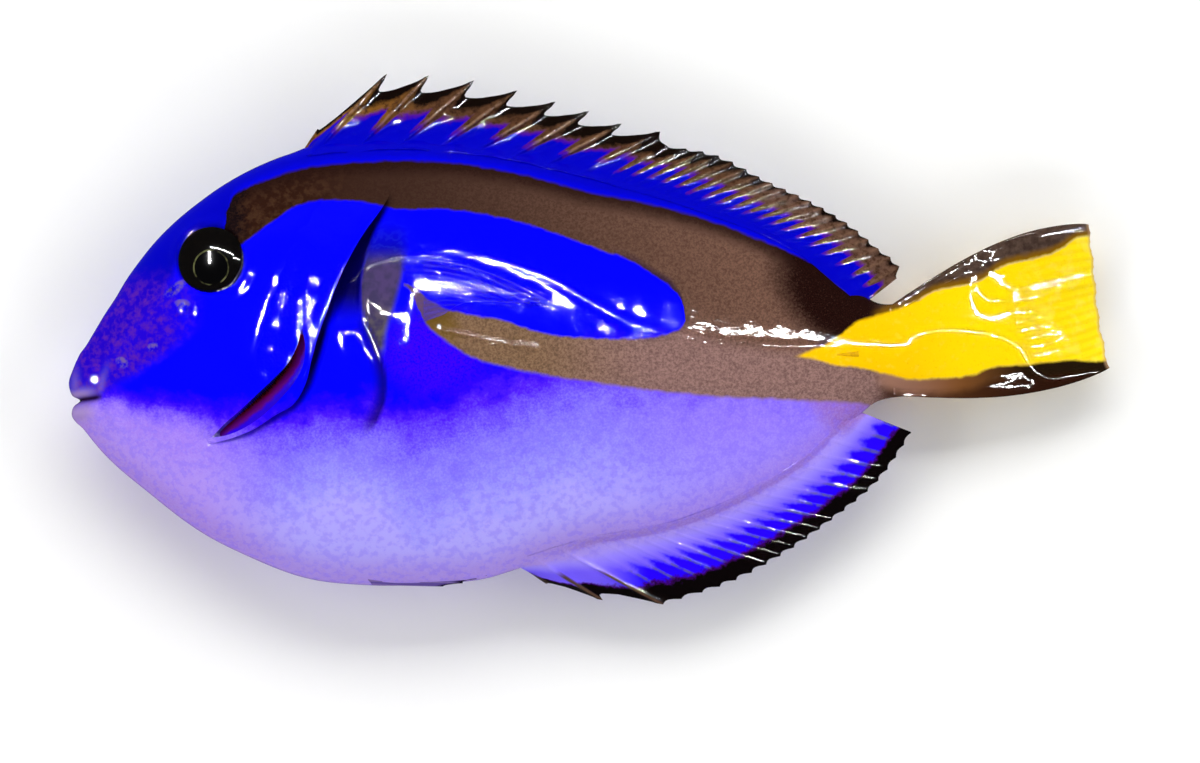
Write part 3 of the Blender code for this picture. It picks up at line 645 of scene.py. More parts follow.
# %% Colours laid over each other
MIX_UNDER, MIX_OVER, MIX_RESULT = 6, 7, 2


def paint(mask, under, over):
    """Lay one colour over another where the mask is 1."""
    node = mask.nodes.new("ShaderNodeMix")
    node.data_type = "RGBA"
    feed(node.inputs["Factor"], mask)
    feed(node.inputs[MIX_UNDER], under)
    feed(node.inputs[MIX_OVER], over)
    return Wire(node.outputs[MIX_RESULT])


def layers(colour, *coats):
    """Lay coats over a colour in turn, each with its mask, its strength and its own colour."""
    for mask, strength, over in coats:
        colour = paint(mask if strength == 1 else mask * strength, colour, over)
    return colour


# %% Places, noise and drawn lines
def fish_place(tree):
    """Millimetres on the fish, from the Object coordinates."""
    source = tree.nodes.new("ShaderNodeTexCoord")
    mapping = tree.nodes.new("ShaderNodeMapping")
    mapping.inputs["Location"].default_value = [-value for value in FISH_ORIGIN]
    mapping.inputs["Scale"].default_value = (1 / MM,) * 3
    tree.links.new(source.outputs["Object"], mapping.inputs["Vector"])
    return Wire(mapping.outputs["Vector"])


def split(place):
    """How far along the fish and how far up it a place is."""
    node = place.nodes.new("ShaderNodeSeparateXYZ")
    feed(node.inputs[0], place)
    return Wire(node.outputs["X"]), Wire(node.outputs["Y"])


def speckle(place, scale, detail=2.0, roughness=0.5, output="Fac"):
    """A noise between 0 and 1; the greater its scale, the finer it is."""
    node = place.nodes.new("ShaderNodeTexNoise")
    feed(node.inputs["Vector"], place)
    feed(node.inputs["Scale"], scale)
    feed(node.inputs["Detail"], detail)
    feed(node.inputs["Roughness"], roughness)
    return Wire(node.outputs[output])


def vector_maths(operation, *values):
    node = values[0].nodes.new("ShaderNodeVectorMath")
    node.operation = operation
    for socket, value in zip(node.inputs, values):
        feed(socket, value)
    return Wire(node.outputs[0])


def unsettled(place, scale, amount):
    """A place, moved about in side view by a noise, so that no border runs too straight."""
    noise = speckle(place, scale, 3.0, output="Color")
    centred = vector_maths("SUBTRACT", noise, (0.5, 0.5, 0.5))
    return vector_maths("MULTIPLY_ADD", centred, (amount, amount, 0.0), place)


LINE_LENGTH = 90.0
LINE_HEIGHT = 22.0


def drawn_line(x, points):
    """Height of a line drawn over the fish's length, as a curve that the shader reads."""
    node = x.nodes.new("ShaderNodeFloatCurve")
    curve = node.mapping.curves[0]
    spots = [(px / LINE_LENGTH, (py + LINE_HEIGHT) / (2 * LINE_HEIGHT)) for px, py in points]
    curve.points[0].location = (0.0, spots[0][1])
    curve.points[1].location = (1.0, spots[-1][1])
    for spot in spots:
        curve.points.new(*spot)
    for spot in curve.points:
        spot.handle_type = "AUTO_CLAMPED"
    node.mapping.update()
    feed(node.inputs["Value"], x / LINE_LENGTH)
    return Wire(node.outputs[0]) * (2 * LINE_HEIGHT) - LINE_HEIGHT


def over_line(x, y, points, soft):
    """1 above a drawn line, and 0 below it."""
    return (y - drawn_line(x, points)).step(-soft, soft)


def blob(x, y, middle, reach, lean=0.0, soft=0.75):
    """A soft round patch: 1 in its middle, 0 at its reach, leaning by an angle in degrees."""
    across, up = math.cos(math.radians(lean)), math.sin(math.radians(lean))
    dx, dy = x - middle[0], y - middle[1]
    long_gap = dx * (across / reach[0]) + dy * (up / reach[0])
    short_gap = dy * (across / reach[1]) - dx * (up / reach[1])
    return (long_gap * long_gap + short_gap * short_gap).step(1.0, 1.0 - soft)


# %% Groups of nodes
def new_group(name, numbers, outputs):
    """A group that reads a place and some numbers; returns it, its wires and its ends."""
    tree = bpy.data.node_groups.new(name, "ShaderNodeTree")
    tree.interface.new_socket("Place", in_out="INPUT", socket_type="NodeSocketVector")
    for label, value in numbers.items():
        socket = tree.interface.new_socket(label, in_out="INPUT", socket_type="NodeSocketFloat")
        socket.default_value = value
    for label in outputs:
        kind = "NodeSocketColor" if label == "Colour" else "NodeSocketFloat"
        tree.interface.new_socket(label, in_out="OUTPUT", socket_type=kind)
    given = {socket.name: Wire(socket) for socket in tree.nodes.new("NodeGroupInput").outputs}
    return tree, given, tree.nodes.new("NodeGroupOutput").inputs


def use_group(group, place, **values):
    """Put a group where a place comes from; returns what comes out of it, by name."""
    node = place.nodes.new("ShaderNodeGroup")
    node.node_tree = group
    feed(node.inputs["Place"], place)
    for name, value in values.items():
        feed(node.inputs[name.replace("_", " ").capitalize()], value)
    return {socket.name: Wire(socket) for socket in node.outputs}


# %% [markdown]
# ## The markings
#
# The palette-shaped mark of this fish is a dark band that runs back from the eye, forks round
# a blue oval and joins again before a yellow wedge. Each of its borders is drawn as one line of
# height over length, and what lies between two lines is masked. A little noise moves the
# place before it is looked up, as a living border wanders too. The colours are then laid over
# each other in coats, as a painter would.

# %% The lines of the markings
BAND_TOP = [(12.5, 9.0), (13.5, 12.6), (14.17, 15.0), (15.74, 16.1), (17.45, 16.6), (20.0, 17.3),
            (25.9, 17.7), (31.0, 17.5), (36.9, 16.5), (45.2, 14.1), (49.4, 13.1), (53.6, 11.8),
            (57.7, 10.05), (61.85, 8.1), (64.7, 6.45), (67.2, 4.8), (70, 4.0)]
OVAL_TOP = [(12.5, 10.0), (15.1, 11.3), (16.85, 12.5), (18.6, 13.6), (19.9, 14.3), (22.4, 14.6),
            (25.8, 14.2), (28.3, 13.5), (31.7, 13.4), (36.7, 12.5), (40.9, 11.1), (45.0, 9.4),
            (47.1, 8.6), (49.4, 7.1), (51.0, 5.9), (51.7, 4.8), (52.0, 3.4), (52.1, 2.6)]
OVAL_BOTTOM = [(27.6, -21.0), (28.1, 5.0), (28.5, 7.3), (29.0, 7.1), (30.6, 5.7), (32.1, 4.9),
               (34.0, 4.4), (36.3, 3.9), (40.5, 2.5), (43.0, 2.1), (46.4, 1.85), (48.7, 1.8),
               (50.4, 2.1), (51.6, 2.6), (52.1, 3.2)]
BAND_BOTTOM = [(28.2, 7.2), (30.0, 4.0), (31.6, 2.4), (34.5, 0.6), (37.8, -0.4), (44.5, -1.8),
               (52.9, -3.2), (61.3, -4.0), (66.4, -4.5), (70, -5.5)]
LOW_BROWN_TOP = [(28, 8.6), (34, 5.4), (43, 2.9), (50, 2.7), (56, 1.0), (62, 0.0), (70, -1.0)]
SINK_LINE = [(2.5, 0.3), (6.3, -0.5), (10.6, -1.2), (15.6, -1.6), (19.0, -1.8), (22.4, -1.7),
             (25.5, -1.5), (29.1, -1.5), (32.5, -0.6), (35.8, 0.5), (42.6, 2.2), (49.3, 2.8),
             (56.0, 2.0), (67.0, 1.0)]
SINK_SPEED = [(3.0, 2.2), (6.3, 2.0), (10.6, 1.7), (15.6, 1.2), (22.4, 1.5), (29.1, 1.0),
              (43.0, 1.0), (50.0, 0.85), (62.0, 1.0)]
DARK_TOP = [(0.0, 0.0), (4.0, 3.5), (8.0, 7.5), (11.0, 11.5)] + BAND_TOP[1:]
SNOUT_LINE = [(0.0, -2.6), (2.5, -0.8), (4.9, 0.5), (8.0, 2.3), (11.0, 4.3), (13.0, 6.0)]
SNOUT_MARKS = [((7.1, 2.9), (0.6, 0.4), 20), ((4.4, 1.7), (0.7, 0.5), -30),
               ((9.2, 7.7), (1.3, 0.5), 35), ((9.7, 6.4), (0.8, 0.5), 0)]
YELLOW_TOP = [(60.8, -0.3), (61.5, -0.1), (64.4, 1.0), (66.2, 2.3), (68.4, 3.0), (70.7, 3.65),
              (73.4, 4.85), (76.3, 5.3), (79.2, 6.7), (83.1, 7.5), (86.4, 8.9)]
YELLOW_BOTTOM = [(60.8, -0.3), (64.5, -1.15), (66.8, -1.55), (69.3, -2.3), (71.6, -2.7),
                 (75.4, -2.6), (78.1, -1.85), (80.8, -1.8), (84.6, -1.65), (87.3, -1.85)]

# %% The group "markings": where the band and the oval lie
markings, given, made = new_group("markings", {}, ("Colour", "Yellow"))
place = given["Place"]
x, y = split(unsettled(place, 1.1, 0.4))
fine = speckle(place, 5.0, 3.0, 0.7)
middling = speckle(place, 1.6, 2.0, 0.6)
coarse = speckle(place, 0.45, 3.0, 0.6)

oval_end = x.step(52.15, 51.95)
oval = over_line(x, y, OVAL_BOTTOM, 0.16) * oval_end * (1 - over_line(x, y, OVAL_TOP, 0.16))
band = over_line(x, y, BAND_BOTTOM, 0.24) * (1 - over_line(x, y, BAND_TOP, 0.2)) * (1 - oval)
band = band * x.step(13.0, 13.4)

# %% Blue above, sinking through violet into a lavender belly
SINK_COLOURS = [(0.0, (0, 0, 255)), (1.5, (38, 1, 255)), (3.0, (78, 24, 255)),
                (4.5, (99, 66, 255)), (6.0, (116, 98, 255)), (8.0, (131, 120, 255)),
                (10.0, (145, 139, 255)), (12.0, (163, 157, 255)), (14.0, (175, 166, 254))]
SINK_REACH = SINK_COLOURS[-1][0]

depth = (drawn_line(x, SINK_LINE) - y) * drawn_line(x, SINK_SPEED)
for noise, amount in ((coarse, 5.0), (middling, 2.2), (fine, 1.8)):
    depth = depth + (noise - 0.5) * amount
sink = place.nodes.new("ShaderNodeValToRGB")
ramp = sink.color_ramp.elements
ramp[0].color, ramp[1].color = shade(*SINK_COLOURS[0][1]), shade(*SINK_COLOURS[-1][1])
for millimetres, tone in SINK_COLOURS[1:-1]:
    ramp.new(millimetres / SINK_REACH).color = shade(*tone)
feed(sink.inputs["Fac"], depth / SINK_REACH)

lavender = depth.step(2.0, 7.0)
rim_gap = y - drawn_line(x, BELLY)
over_anal_fin = x.step(38.0, 44.0)
throat = lavender * x.step(20.0, 9.0)
rim = lavender * rim_gap.step(3.4, 0.3)
rear = lavender * x.step(40.0, 58.0)
fin_line = rim_gap.step(0.9, 0.3) * rim_gap.step(-0.4, 0.2) * over_anal_fin
below_line = rim_gap.step(0.1, -0.3) * over_anal_fin
root_patch = blob(x, y, (65.6, -5.0), (5.5, 2.8), -30, soft=1.0)
grains = lavender * fine.step(0.38, 0.64)
clouds = lavender * middling.step(0.56, 0.36)
colour = layers(Wire(sink.outputs["Color"]),
                (throat, 0.7, (178, 134, 238)),
                (rim, 0.7, (170, 132, 222)),
                (rear, 0.6, (160, 124, 250)),
                (fin_line, 0.4, (136, 96, 176)),
                (below_line, 0.6, (172, 156, 255)),
                (root_patch, 0.7, (152, 100, 180)),
                (grains, 0.25, (182, 164, 254)),
                (clouds, 0.3, (124, 100, 248)))

# %% A darker back and forehead, a touch of violet on the shoulder, a mottled snout
back = over_line(x, y, DARK_TOP, 0.9)
shoulder = blob(x, y, (31.0, 1.6), (6.0, 4.6), soft=1.0) * fine.step(0.3, 0.6)
snout = over_line(x, y, SNOUT_LINE, 0.8) * x.step(12.0, 7.0) * y.step(10.0, 7.0)
violet = snout * middling.step(0.38, 0.76)
colour = layers(colour,
                (back, 1, (0, 0, 188)),
                (shoulder, 0.9, (62, 0, 236)),
                (snout, 0.8, (36, 0, 196)),
                (violet, 0.8, (96, 34, 164)))
broken = middling.step(0.35, 0.6)
for middle, reach, lean in SNOUT_MARKS:
    mark = blob(x, y, middle, reach, lean) * broken
    colour = layers(colour, (mark, 0.75, (120, 96, 150)))

# %% The band: nearly black at its upper border and before the tail, dusty brown below
low_part = x.step(27.0, 30.0) * (1 - over_line(x, y, LOW_BROWN_TOP, 0.9))
low_brown = paint(x.step(38.0, 50.0), (138, 108, 82), (154, 119, 113))
nape = x.step(27.0, 19.0)
nape_spots = nape * middling.step(0.42, 0.62)
mottle = speckle(place, 2.6, 3.0, 0.6).step(0.45, 0.62)
top_gap = drawn_line(x, BAND_TOP) - y + (fine - 0.5) * 1.6
front_gap = x + (middling - 0.5) * 2.4
oval_gap = y - drawn_line(x, OVAL_TOP)
# A dark navy edge just outside the rear of the oval is painted shade.
oval_edge_shade = oval_gap.step(0.9, 0.1) * over_line(x, y, OVAL_BOTTOM, 0.5)
oval_edge_shade = oval_edge_shade * (x.step(45.0, 50.0) * x.step(52.9, 52.2))
black = blob(x, y, (66.2, 4.2), (9.5, 5.6), -36, soft=0.8) * (fine + 0.55)
golden = blob(x, y, (30.2, 5.0), (4.6, 2.0), -45, soft=1.0)
band_colour = layers(paint(x.step(24.0, 64.0), (58, 37, 28), (122, 89, 74)),
                     (low_part, 1, low_brown),
                     (nape, 0.85, (42, 17, 6)),
                     (nape_spots, 0.45, (86, 58, 38)),
                     (mottle, 0.22, (48, 28, 18)),
                     (top_gap.step(1.7, 0.2), 0.9, (34, 14, 10)),
                     (front_gap.step(15.9, 14.4), 0.9, (12, 6, 12)),
                     (oval_edge_shade, 0.75, (24, 10, 56)),
                     (black, 1, (24, 3, 2)),
                     (fine.step(0.4, 0.62), 0.4, (44, 24, 18)),
                     (golden, 0.9, (112, 84, 26)))

# %% The tail: yellow from a point on its stalk, between two dark margins
upper_gap = y - drawn_line(x, YELLOW_TOP)
lower_gap = drawn_line(x, YELLOW_BOTTOM) - y
on_tail = x.step(67.3, 69.0)
upper_brown = layers(paint(x.step(69.0, 76.0), (58, 36, 26), (84, 66, 56)),
                     (middling.step(0.3, 0.75), 1, (56, 42, 36)),
                     (upper_gap.step(0.8, 0.15), 1, (122, 84, 12)))
lower_brown = layers(paint(x.step(69.0, 75.5), (152, 110, 92), (122, 76, 38)),
                     (x.step(73.5, 81.0), 1, (30, 18, 6)),
                     (lower_gap.step(0.6, 1.7), 0.8, (44, 18, 8)))
tail_yellow = layers(paint(x.step(68.0, 77.0), (255, 200, 0), (255, 217, 2)),
                     (x.step(80.0, 90.0), 1, (255, 229, 24)),
                     (middling.step(0.55, 0.7), 0.35, (255, 214, 60)),
                     (fine.step(0.58, 0.72), 0.3, (214, 144, 0)))
yellow = upper_gap.step(0.18, -0.22) * lower_gap.step(0.18, -0.22) * x.step(60.6, 61.8)
colour = layers(colour,
                (band, 1, band_colour),
                (on_tail * upper_gap.step(-0.2, 0.1), 1, upper_brown),
                (on_tail * lower_gap.step(-0.2, 0.1), 1, lower_brown),
                (yellow, 1, tail_yellow))
feed(made["Colour"], colour)
feed(made["Yellow"], yellow)
print("the markings take", len(markings.nodes), "nodes")

# %% [markdown]
# ## Wet skin
#
# A tang's scales are far too small to see one by one, but they break every reflection into
# specks. A cell pattern gives the scales and a noise gives the film of water, which also
# gathers in a few thin ridges. The film itself is the shader's coat, so that the light lies
# on top of the colour.

# %% The group "wet relief"
SCALES_A_MILLIMETRE = 4.2
SCALE_UNEVENNESS = 0.8

wet_relief, given, made = new_group("wet relief", {"Scale depth": 0.01, "Ripple depth": 0.1},
                                    ("Height",))
cells = wet_relief.nodes.new("ShaderNodeTexVoronoi")
feed(cells.inputs["Vector"], given["Place"])
feed(cells.inputs["Scale"], SCALES_A_MILLIMETRE)
feed(cells.inputs["Randomness"], SCALE_UNEVENNESS)
scales = Wire(cells.outputs["Distance"]) * given["Scale depth"]
ripples = speckle(given["Place"], 0.5, 3.0, 0.55) * given["Ripple depth"]
feed(made["Height"], scales + ripples)

# %% The group "water lines"
WATER_LINES = [([(47.0, 1.9), (51.4, 1.8), (54.8, 1.4), (58.4, 1.1)], 0.42),
               ([(30.9, 3.6), (31.5, 3.3), (32.9, 2.9), (34.6, 2.4), (37.1, 1.8), (39.6, 1.5)], 0.42),
               ([(28.8, 9.5), (30.7, 9.6), (32.3, 9.1), (33.8, 8.6), (36.5, 6.9), (39.0, 6.4),
                 (40.9, 5.6)], 0.5),
               ([(34.0, 6.2), (36.4, 5.8), (38.1, 5.6), (40.9, 5.2)], 0.4),
               ([(23.4, 7.7), (25.2, 8.7), (27.2, 9.4), (29.0, 9.6)], 0.3)]
WATER_HEIGHT = 0.09
NEAR_REACH = 1.7


def water_line(x, y, points, reach):
    """A thin ridge of water along a line drawn over the fish's length, with pointed ends."""
    gap = maths("ABSOLUTE", y - drawn_line(x, points))
    from_ends = maths("MINIMUM", x - points[0][0], points[-1][0] - x)
    return gap.step(reach, 0.0) * from_ends.step(0.0, 0.8)


water_lines, given, made = new_group("water lines", {}, ("Height", "Near"))
x, y = split(unsettled(given["Place"], 1.3, 0.8))
height, near = 0.0, 0.0
for points, reach in WATER_LINES:
    height = maths("MAXIMUM", height, water_line(x, y, points, reach))
    near = maths("MAXIMUM", near, water_line(x, y, points, reach * NEAR_REACH))
feed(made["Height"], height * WATER_HEIGHT)
feed(made["Near"], near)


# %% Shaders
WATER_IOR = 1.33


def new_finish(name, roughness=0.45, coat_roughness=0.035):
    """A material with a film of water over it; returns it, its shader and its place."""
    finish = bpy.data.materials.new(name)
    finish.use_nodes = True
    shader = finish.node_tree.nodes["Principled BSDF"]
    feed(shader.inputs["Roughness"], roughness)
    feed(shader.inputs["Specular IOR Level"], 0.0)
    feed(shader.inputs["Coat Weight"], 1.0)
    feed(shader.inputs["Coat IOR"], WATER_IOR)
    feed(shader.inputs["Coat Roughness"], coat_roughness)
    return finish, shader, fish_place(finish.node_tree)


def add_bump(shader, height):
    """Relief from a height in millimetres, for the skin and for the water on it alike."""
    bump = height.nodes.new("ShaderNodeBump")
    feed(bump.inputs["Distance"], MM)
    feed(bump.inputs["Height"], height)
    feed(shader.inputs["Normal"], Wire(bump.outputs["Normal"]))
    feed(shader.inputs["Coat Normal"], Wire(bump.outputs["Normal"]))


def stored(shader, name):
    """A number stored on the points of the piece."""
    node = shader.id_data.nodes.new("ShaderNodeAttribute")
    node.attribute_name = name
    return Wire(node.outputs["Fac"])


# %% Paint the skin
SCALE_DEPTH = 0.0025
NEAR_WATER_DEPTH = 0.011
SKIN_RIPPLE = 0.022

skin_finish, shader, place = new_finish("wet skin")
x, y = split(place)
blotches = speckle(place, 1.1)
high = y.step(8.8, 10.6)
arcs = maths("SINE", (y + blotches * 3.0) * 7.0).step(-0.4, 1.0) * high
grey_skin = layers(paint(y.step(2.5, 7.0), (98, 92, 86), (78, 62, 108)),
                   (blotches.step(0.35, 0.65), 1, (64, 56, 92)),
                   (high, 1, (10, 8, 74)),
                   (arcs, 0.15, (60, 84, 150)))
# The last two coats are painted shade: near black in the mouth's line, and in the folds, pocket and
# slit round the gill cover.
colour = layers(use_group(markings, place)["Colour"],
                (stored(shader, "lips"), 0.8, (172, 146, 196)),
                (stored(shader, "mouth"), 1, (40, 4, 50)),
                (stored(shader, "root_skin"), 1, grey_skin),
                (stored(shader, "fold"), 0.92, (6, 2, 14)))
feed(shader.inputs["Base Color"], colour)
water = use_group(water_lines, place)
scales = x.step(72.0, 64.0) * (water["Near"] * NEAR_WATER_DEPTH + SCALE_DEPTH)
relief = use_group(wet_relief, place, scale_depth=scales, ripple_depth=SKIN_RIPPLE)
add_bump(shader, relief["Height"] + water["Height"])
hand_over(skin, "skin", skin_finish, "blue_skin", "head", "lower_jaw", "trunk", "tail_stalk")

# %% [markdown]
# ## Gill covers
#
# A gill cover is a thin plate with a free rear edge, so it is a piece of its own that lies
# over the skin like a lid. It starts as a flat grid. Its rows are laid from the free edge
# forward until they sink into the cheek, which hides where it begins. Below, a slit is cut
# through it with a Boolean, and a small bevel rounds every edge so that it catches the light.

# %% Sheets made from a grid
def flat_grid(columns, rows):
    """A grid of points, with the share across and the share up of each."""
    deselect()
    bpy.ops.mesh.primitive_grid_add(x_subdivisions=columns, y_subdivisions=rows, size=1.0)
    sheet = bpy.context.object
    corners = read_points(sheet)
    return sheet, corners[:, 0] + 0.5, corners[:, 1] + 0.5


def lay_sheet(sheet, places, facing):
    """Place the points of a sheet, and turn it so that it faces a given way."""
    set_places(sheet, places)
    average = np.mean([polygon.normal for polygon in sheet.data.polygons], axis=0)
    if np.dot(average, facing) < 0:
        edit_all(sheet)
        bpy.ops.mesh.flip_normals()
        bpy.ops.object.mode_set(mode="OBJECT")


def prism(outline, low, high):
    """A straight block on an outline drawn in side view, for cutting."""
    deselect()
    bpy.ops.mesh.primitive_circle_add(vertices=len(outline), radius=1.0, fill_type="NGON")
    block = bpy.context.object
    set_places(block, [(px, py, low) for px, py in outline])
    edit_all(block)
    bpy.ops.mesh.extrude_region_move(TRANSFORM_OT_translate={"value": (0, 0, (high - low) * MM)})
    face_outwards(block)
    return block


# %% Make both gill covers
COVER_FRONT = [(24.2, 17.0), (21.3, 14.0), (18.4, 10.4), (16.3, 6.2), (14.6, 1.8), (12.6, -2.0),
               (11.2, -3.9), (9.8, -5.0), (8.6, -5.6)]
COVER_WALL = 0.22
COVER_ROOT, COVER_LIFT = -0.09, 0.30
EDGE_TUCK = 0.10
SLIT_LIP = 0.10
COVER_CREASE = [(19.8, 4.0), (19.85, 6.4)]
CREASE_DEPTH = 0.05
COVER_WAVES = 0.035
EDGE_ROUNDING = 0.05
CUTTER_REACH = {1: (1.0, 9.0), -1: (-9.0, -1.0)}

cover_finish, shader, place = new_finish("wet gill cover")
feed(shader.inputs["Base Color"], use_group(markings, place)["Colour"])
add_bump(shader, use_group(wet_relief, place, scale_depth=0.010, ripple_depth=0.05)["Height"])

upper = smooth_path(SLIT_UPPER)(np.linspace(0, 1, 28))
lower = smooth_path(SLIT_LOWER)(np.linspace(0, 1, 28))
slit_outline = [tuple(point) for point in np.concatenate((upper, lower[1:-1]))]
for side_name, side in SIDES:
    cover, along, forward = flat_grid(150, 44)
    rear = smooth_path(GILL_EDGE)(along)
    front = smooth_path(COVER_FRONT)(along)
    flat = rear + (front - rear) * (forward ** 1.25)[:, None]
    cx, cy = flat.T
    open_share = span(along, 0.03, 0.14, 0.70, 0.97)
    lift = COVER_ROOT + COVER_LIFT * (1 - fade(forward, 0.12, 1.0)) * open_share
    lift -= EDGE_TUCK * hill(forward, 0, 0.035) * open_share
    below, _ = edge_gap(cx, cy, SLIT_LOWER)
    lip = hill(np.abs(below) - 0.45, 0, 0.35) * (cx > 11.5)
    lift += SLIT_LIP * lip * span(cy, -7.5, -5.5, 3, 5)
    crease, _ = edge_gap(cx, cy, COVER_CREASE, steps=8)
    lift -= CREASE_DEPTH * hill(crease, 0, 0.13) * span(cy, 3.4, 4.0, 6.0, 6.8)
    waves = np.sin(2.3 * cx + 0.8 * cy) * np.sin(1.7 * cy - 0.5 * cx)
    lift += COVER_WAVES * waves * open_share
    height = rest(side * (flank(cx, cy) + lift))
    lay_sheet(cover, np.stack((cx, cy, height), axis=1), (0, 0, side))
    use_modifier(cover, "SOLIDIFY", thickness=COVER_WALL * MM, offset=-1.0)
    cutter = prism(slit_outline, *CUTTER_REACH[side])
    use_modifier(cover, "BOOLEAN", object=cutter, operation="DIFFERENCE", solver="EXACT")
    bpy.data.objects.remove(cutter, do_unlink=True)
    use_modifier(cover, "BEVEL", width=EDGE_ROUNDING * MM, segments=2, limit_method="ANGLE",
                 angle_limit=math.radians(50), harden_normals=False)
    hand_over(cover, f"{side_name}_gill_cover_skin", cover_finish, "blue_skin",
              f"{side_name}_gill_cover")

# %% [markdown]
# ## Gills
#
# The slit shows the soft skin under the cover, maroon at its deep side and blue where it
# comes up, with a comb of fine gill filaments; the deepest strip and the filaments get a
# painted shadow in near black. One filament is a thin cone. It is copied along the slit, every
# copy turned across it, and all are joined into one piece.

# %% Make both gills
GILL_LINE = [(19.7, 3.4), (18.9, 1.0), (17.3, -0.9), (15.4, -2.5), (12.2, -4.6)]
FILAMENTS = 70
FILAMENT_LENGTH = 0.9
FILAMENT_FOOT, FILAMENT_TIP = 0.07, 0.03
PAD_WIDTH = 2.6
PAD_WALL = 0.4

gill_finish, shader, place = new_finish("wet gills", roughness=0.3, coat_roughness=0.08)
across = stored(shader, "across") + (speckle(place, 1.6, 3.0) * 0.16 - 0.08)
# Near black where the share across is small, on the deep strip under the cover's rim and on the
# filaments, which store no share across: painted shadow.
colour = layers(paint(across.step(0.26, 0.42), (16, 0, 2), (104, 8, 28)),
                (across.step(0.42, 0.62), 1, (92, 4, 110)),
                (across.step(0.62, 0.76), 1, (44, 0, 220)))
feed(shader.inputs["Base Color"], colour)
add_bump(shader, use_group(wet_relief, place, scale_depth=0.004, ripple_depth=0.08)["Height"])

line = smooth_path(GILL_LINE)
for side_name, side in SIDES:
    pad, along, across = flat_grid(50, 10)
    ahead = line(np.clip(along + 0.01, 0, 1)) - line(np.clip(along - 0.01, 0, 1))
    ahead /= np.linalg.norm(ahead, axis=1)[:, None]
    outward = np.stack((-ahead[:, 1], ahead[:, 0]), axis=1)
    px, py = (line(along) + outward * ((across - 0.5) * PAD_WIDTH)[:, None]).T
    depth = 0.42 + 1.3 * np.clip(1 - across / 0.75, 0, 1) ** 1.4
    height = rest(side * (flank(px, py) - depth), 0.3)
    lay_sheet(pad, np.stack((px, py, height), axis=1), (0, 0, side))
    set_attribute(pad, "across", across)
    use_modifier(pad, "SOLIDIFY", thickness=PAD_WALL * MM, offset=-1.0)
    deselect()
    bpy.ops.mesh.primitive_cone_add(vertices=6, radius1=FILAMENT_FOOT * MM,
                                    radius2=FILAMENT_TIP * MM, depth=FILAMENT_LENGTH * MM,
                                    rotation=(0, math.pi / 2, 0))
    filament = bpy.context.object
    own_place(filament)
    strands = [pad]
    for number in range(FILAMENTS):
        share = np.array([(number + 0.5) / FILAMENTS])
        spot = line(share)[0]
        way = line(np.clip(share + 0.02, 0, 1))[0] - line(np.clip(share - 0.02, 0, 1))[0]
        strand = filament.copy()
        strand.data = filament.data.copy()
        bpy.context.scene.collection.objects.link(strand)
        across_slit = np.array([-way[1], way[0]]) / np.linalg.norm(way)
        spot = spot - across_slit * (0.62 + 0.07 * math.sin(2.3 * number))
        height = rest(side * (float(flank(*spot)) - 0.78), 0.5)
        strand.location = on_floor((*spot, height))
        turn = math.atan2(way[1], way[0]) + math.pi / 2 + 0.12 * math.sin(1.7 * number)
        strand.rotation_euler = (0, 0, turn)
        strands.append(strand)
    bpy.data.objects.remove(filament, do_unlink=True)
    deselect()
    for strand in strands:
        strand.select_set(True)
    bpy.context.view_layer.objects.active = pad
    bpy.ops.object.join()
    own_place(pad)
    hand_over(pad, f"{side_name}_gill_filaments", gill_finish, "gill", f"{side_name}_gills")

# %% [markdown]
# ## Eyes
#
# The eye is a shallow dome, nearly black, with a thin broken ring of pale gold round the
# pupil. A sphere with its pole outwards is flattened and turned to face the way the cheek
# does. The shine is the work of a clear, very smooth coat.

# %% Make both eyes
EYE_BULGE = 0.8
EYE_DEPTH = 1.6
EYE_SINK = 0.12
EYE_FACING = (-0.09, 0.03, 1.0)
PUPIL_PLACE = (12.3, 9.35)
PUPIL_RADIUS = 1.46

eye_finish, shader, place = new_finish("dark eye", roughness=0.25, coat_roughness=0.05)
x, y = split(place)
dx, dy = x - PUPIL_PLACE[0], y - PUPIL_PLACE[1]
pupil_gap = maths("SQRT", dx * dx + dy * dy)
ring = maths("ABSOLUTE", pupil_gap - PUPIL_RADIUS).step(0.10, 0.02)
ring = ring * speckle(place, 0.8).step(0.42, 0.6)
iris = paint(speckle(place, 2.0, 3.0), (2, 2, 3), (12, 9, 7))
colour = layers(paint(pupil_gap.step(1.3, 1.5), (2, 2, 3), iris),
                (ring, 0.6, (126, 128, 84)))
feed(shader.inputs["Base Color"], colour)

for side_name, side in SIDES:
    deselect()
    bpy.ops.mesh.primitive_uv_sphere_add(segments=64, ring_count=40, radius=1.0)
    eye = bpy.context.object
    corners = read_points(eye)
    corners *= np.where(corners[:, 2:] > 0, (EYE_RADIUS, EYE_RADIUS, EYE_BULGE),
                        (EYE_RADIUS, EYE_RADIUS, EYE_DEPTH))
    facing = Vector(EYE_FACING).normalized()
    turn = np.array(Vector((0, 0, 1)).rotation_difference(facing).to_matrix())
    corners = corners @ turn.T
    centre = np.array([*EYE_PLACE, float(flank(*EYE_PLACE))]) - np.array(facing) * EYE_SINK
    corners = (corners + centre) * (1, 1, side)
    corners[:, 2] = rest(corners[:, 2])
    set_places(eye, corners)
    if side < 0:
        face_outwards(eye)
    hand_over(eye, f"{side_name}_eye_ball", eye_finish, "eye", f"{side_name}_eye")

# %% [markdown]
# ## Fins
#
# A fin is a thin skin stretched over rays. Each is one sheet whose columns run along the
# rays: the rays stand a little out of both faces, the skin between them sags, and the edge is
# notched behind each ray. Three numbers are stored on the points, which the colours follow:
# `ray` counts the rays, `reach` is 0 at the root and 1 at the edge, and `off_ray` is the
# distance to the nearest ray in millimetres.

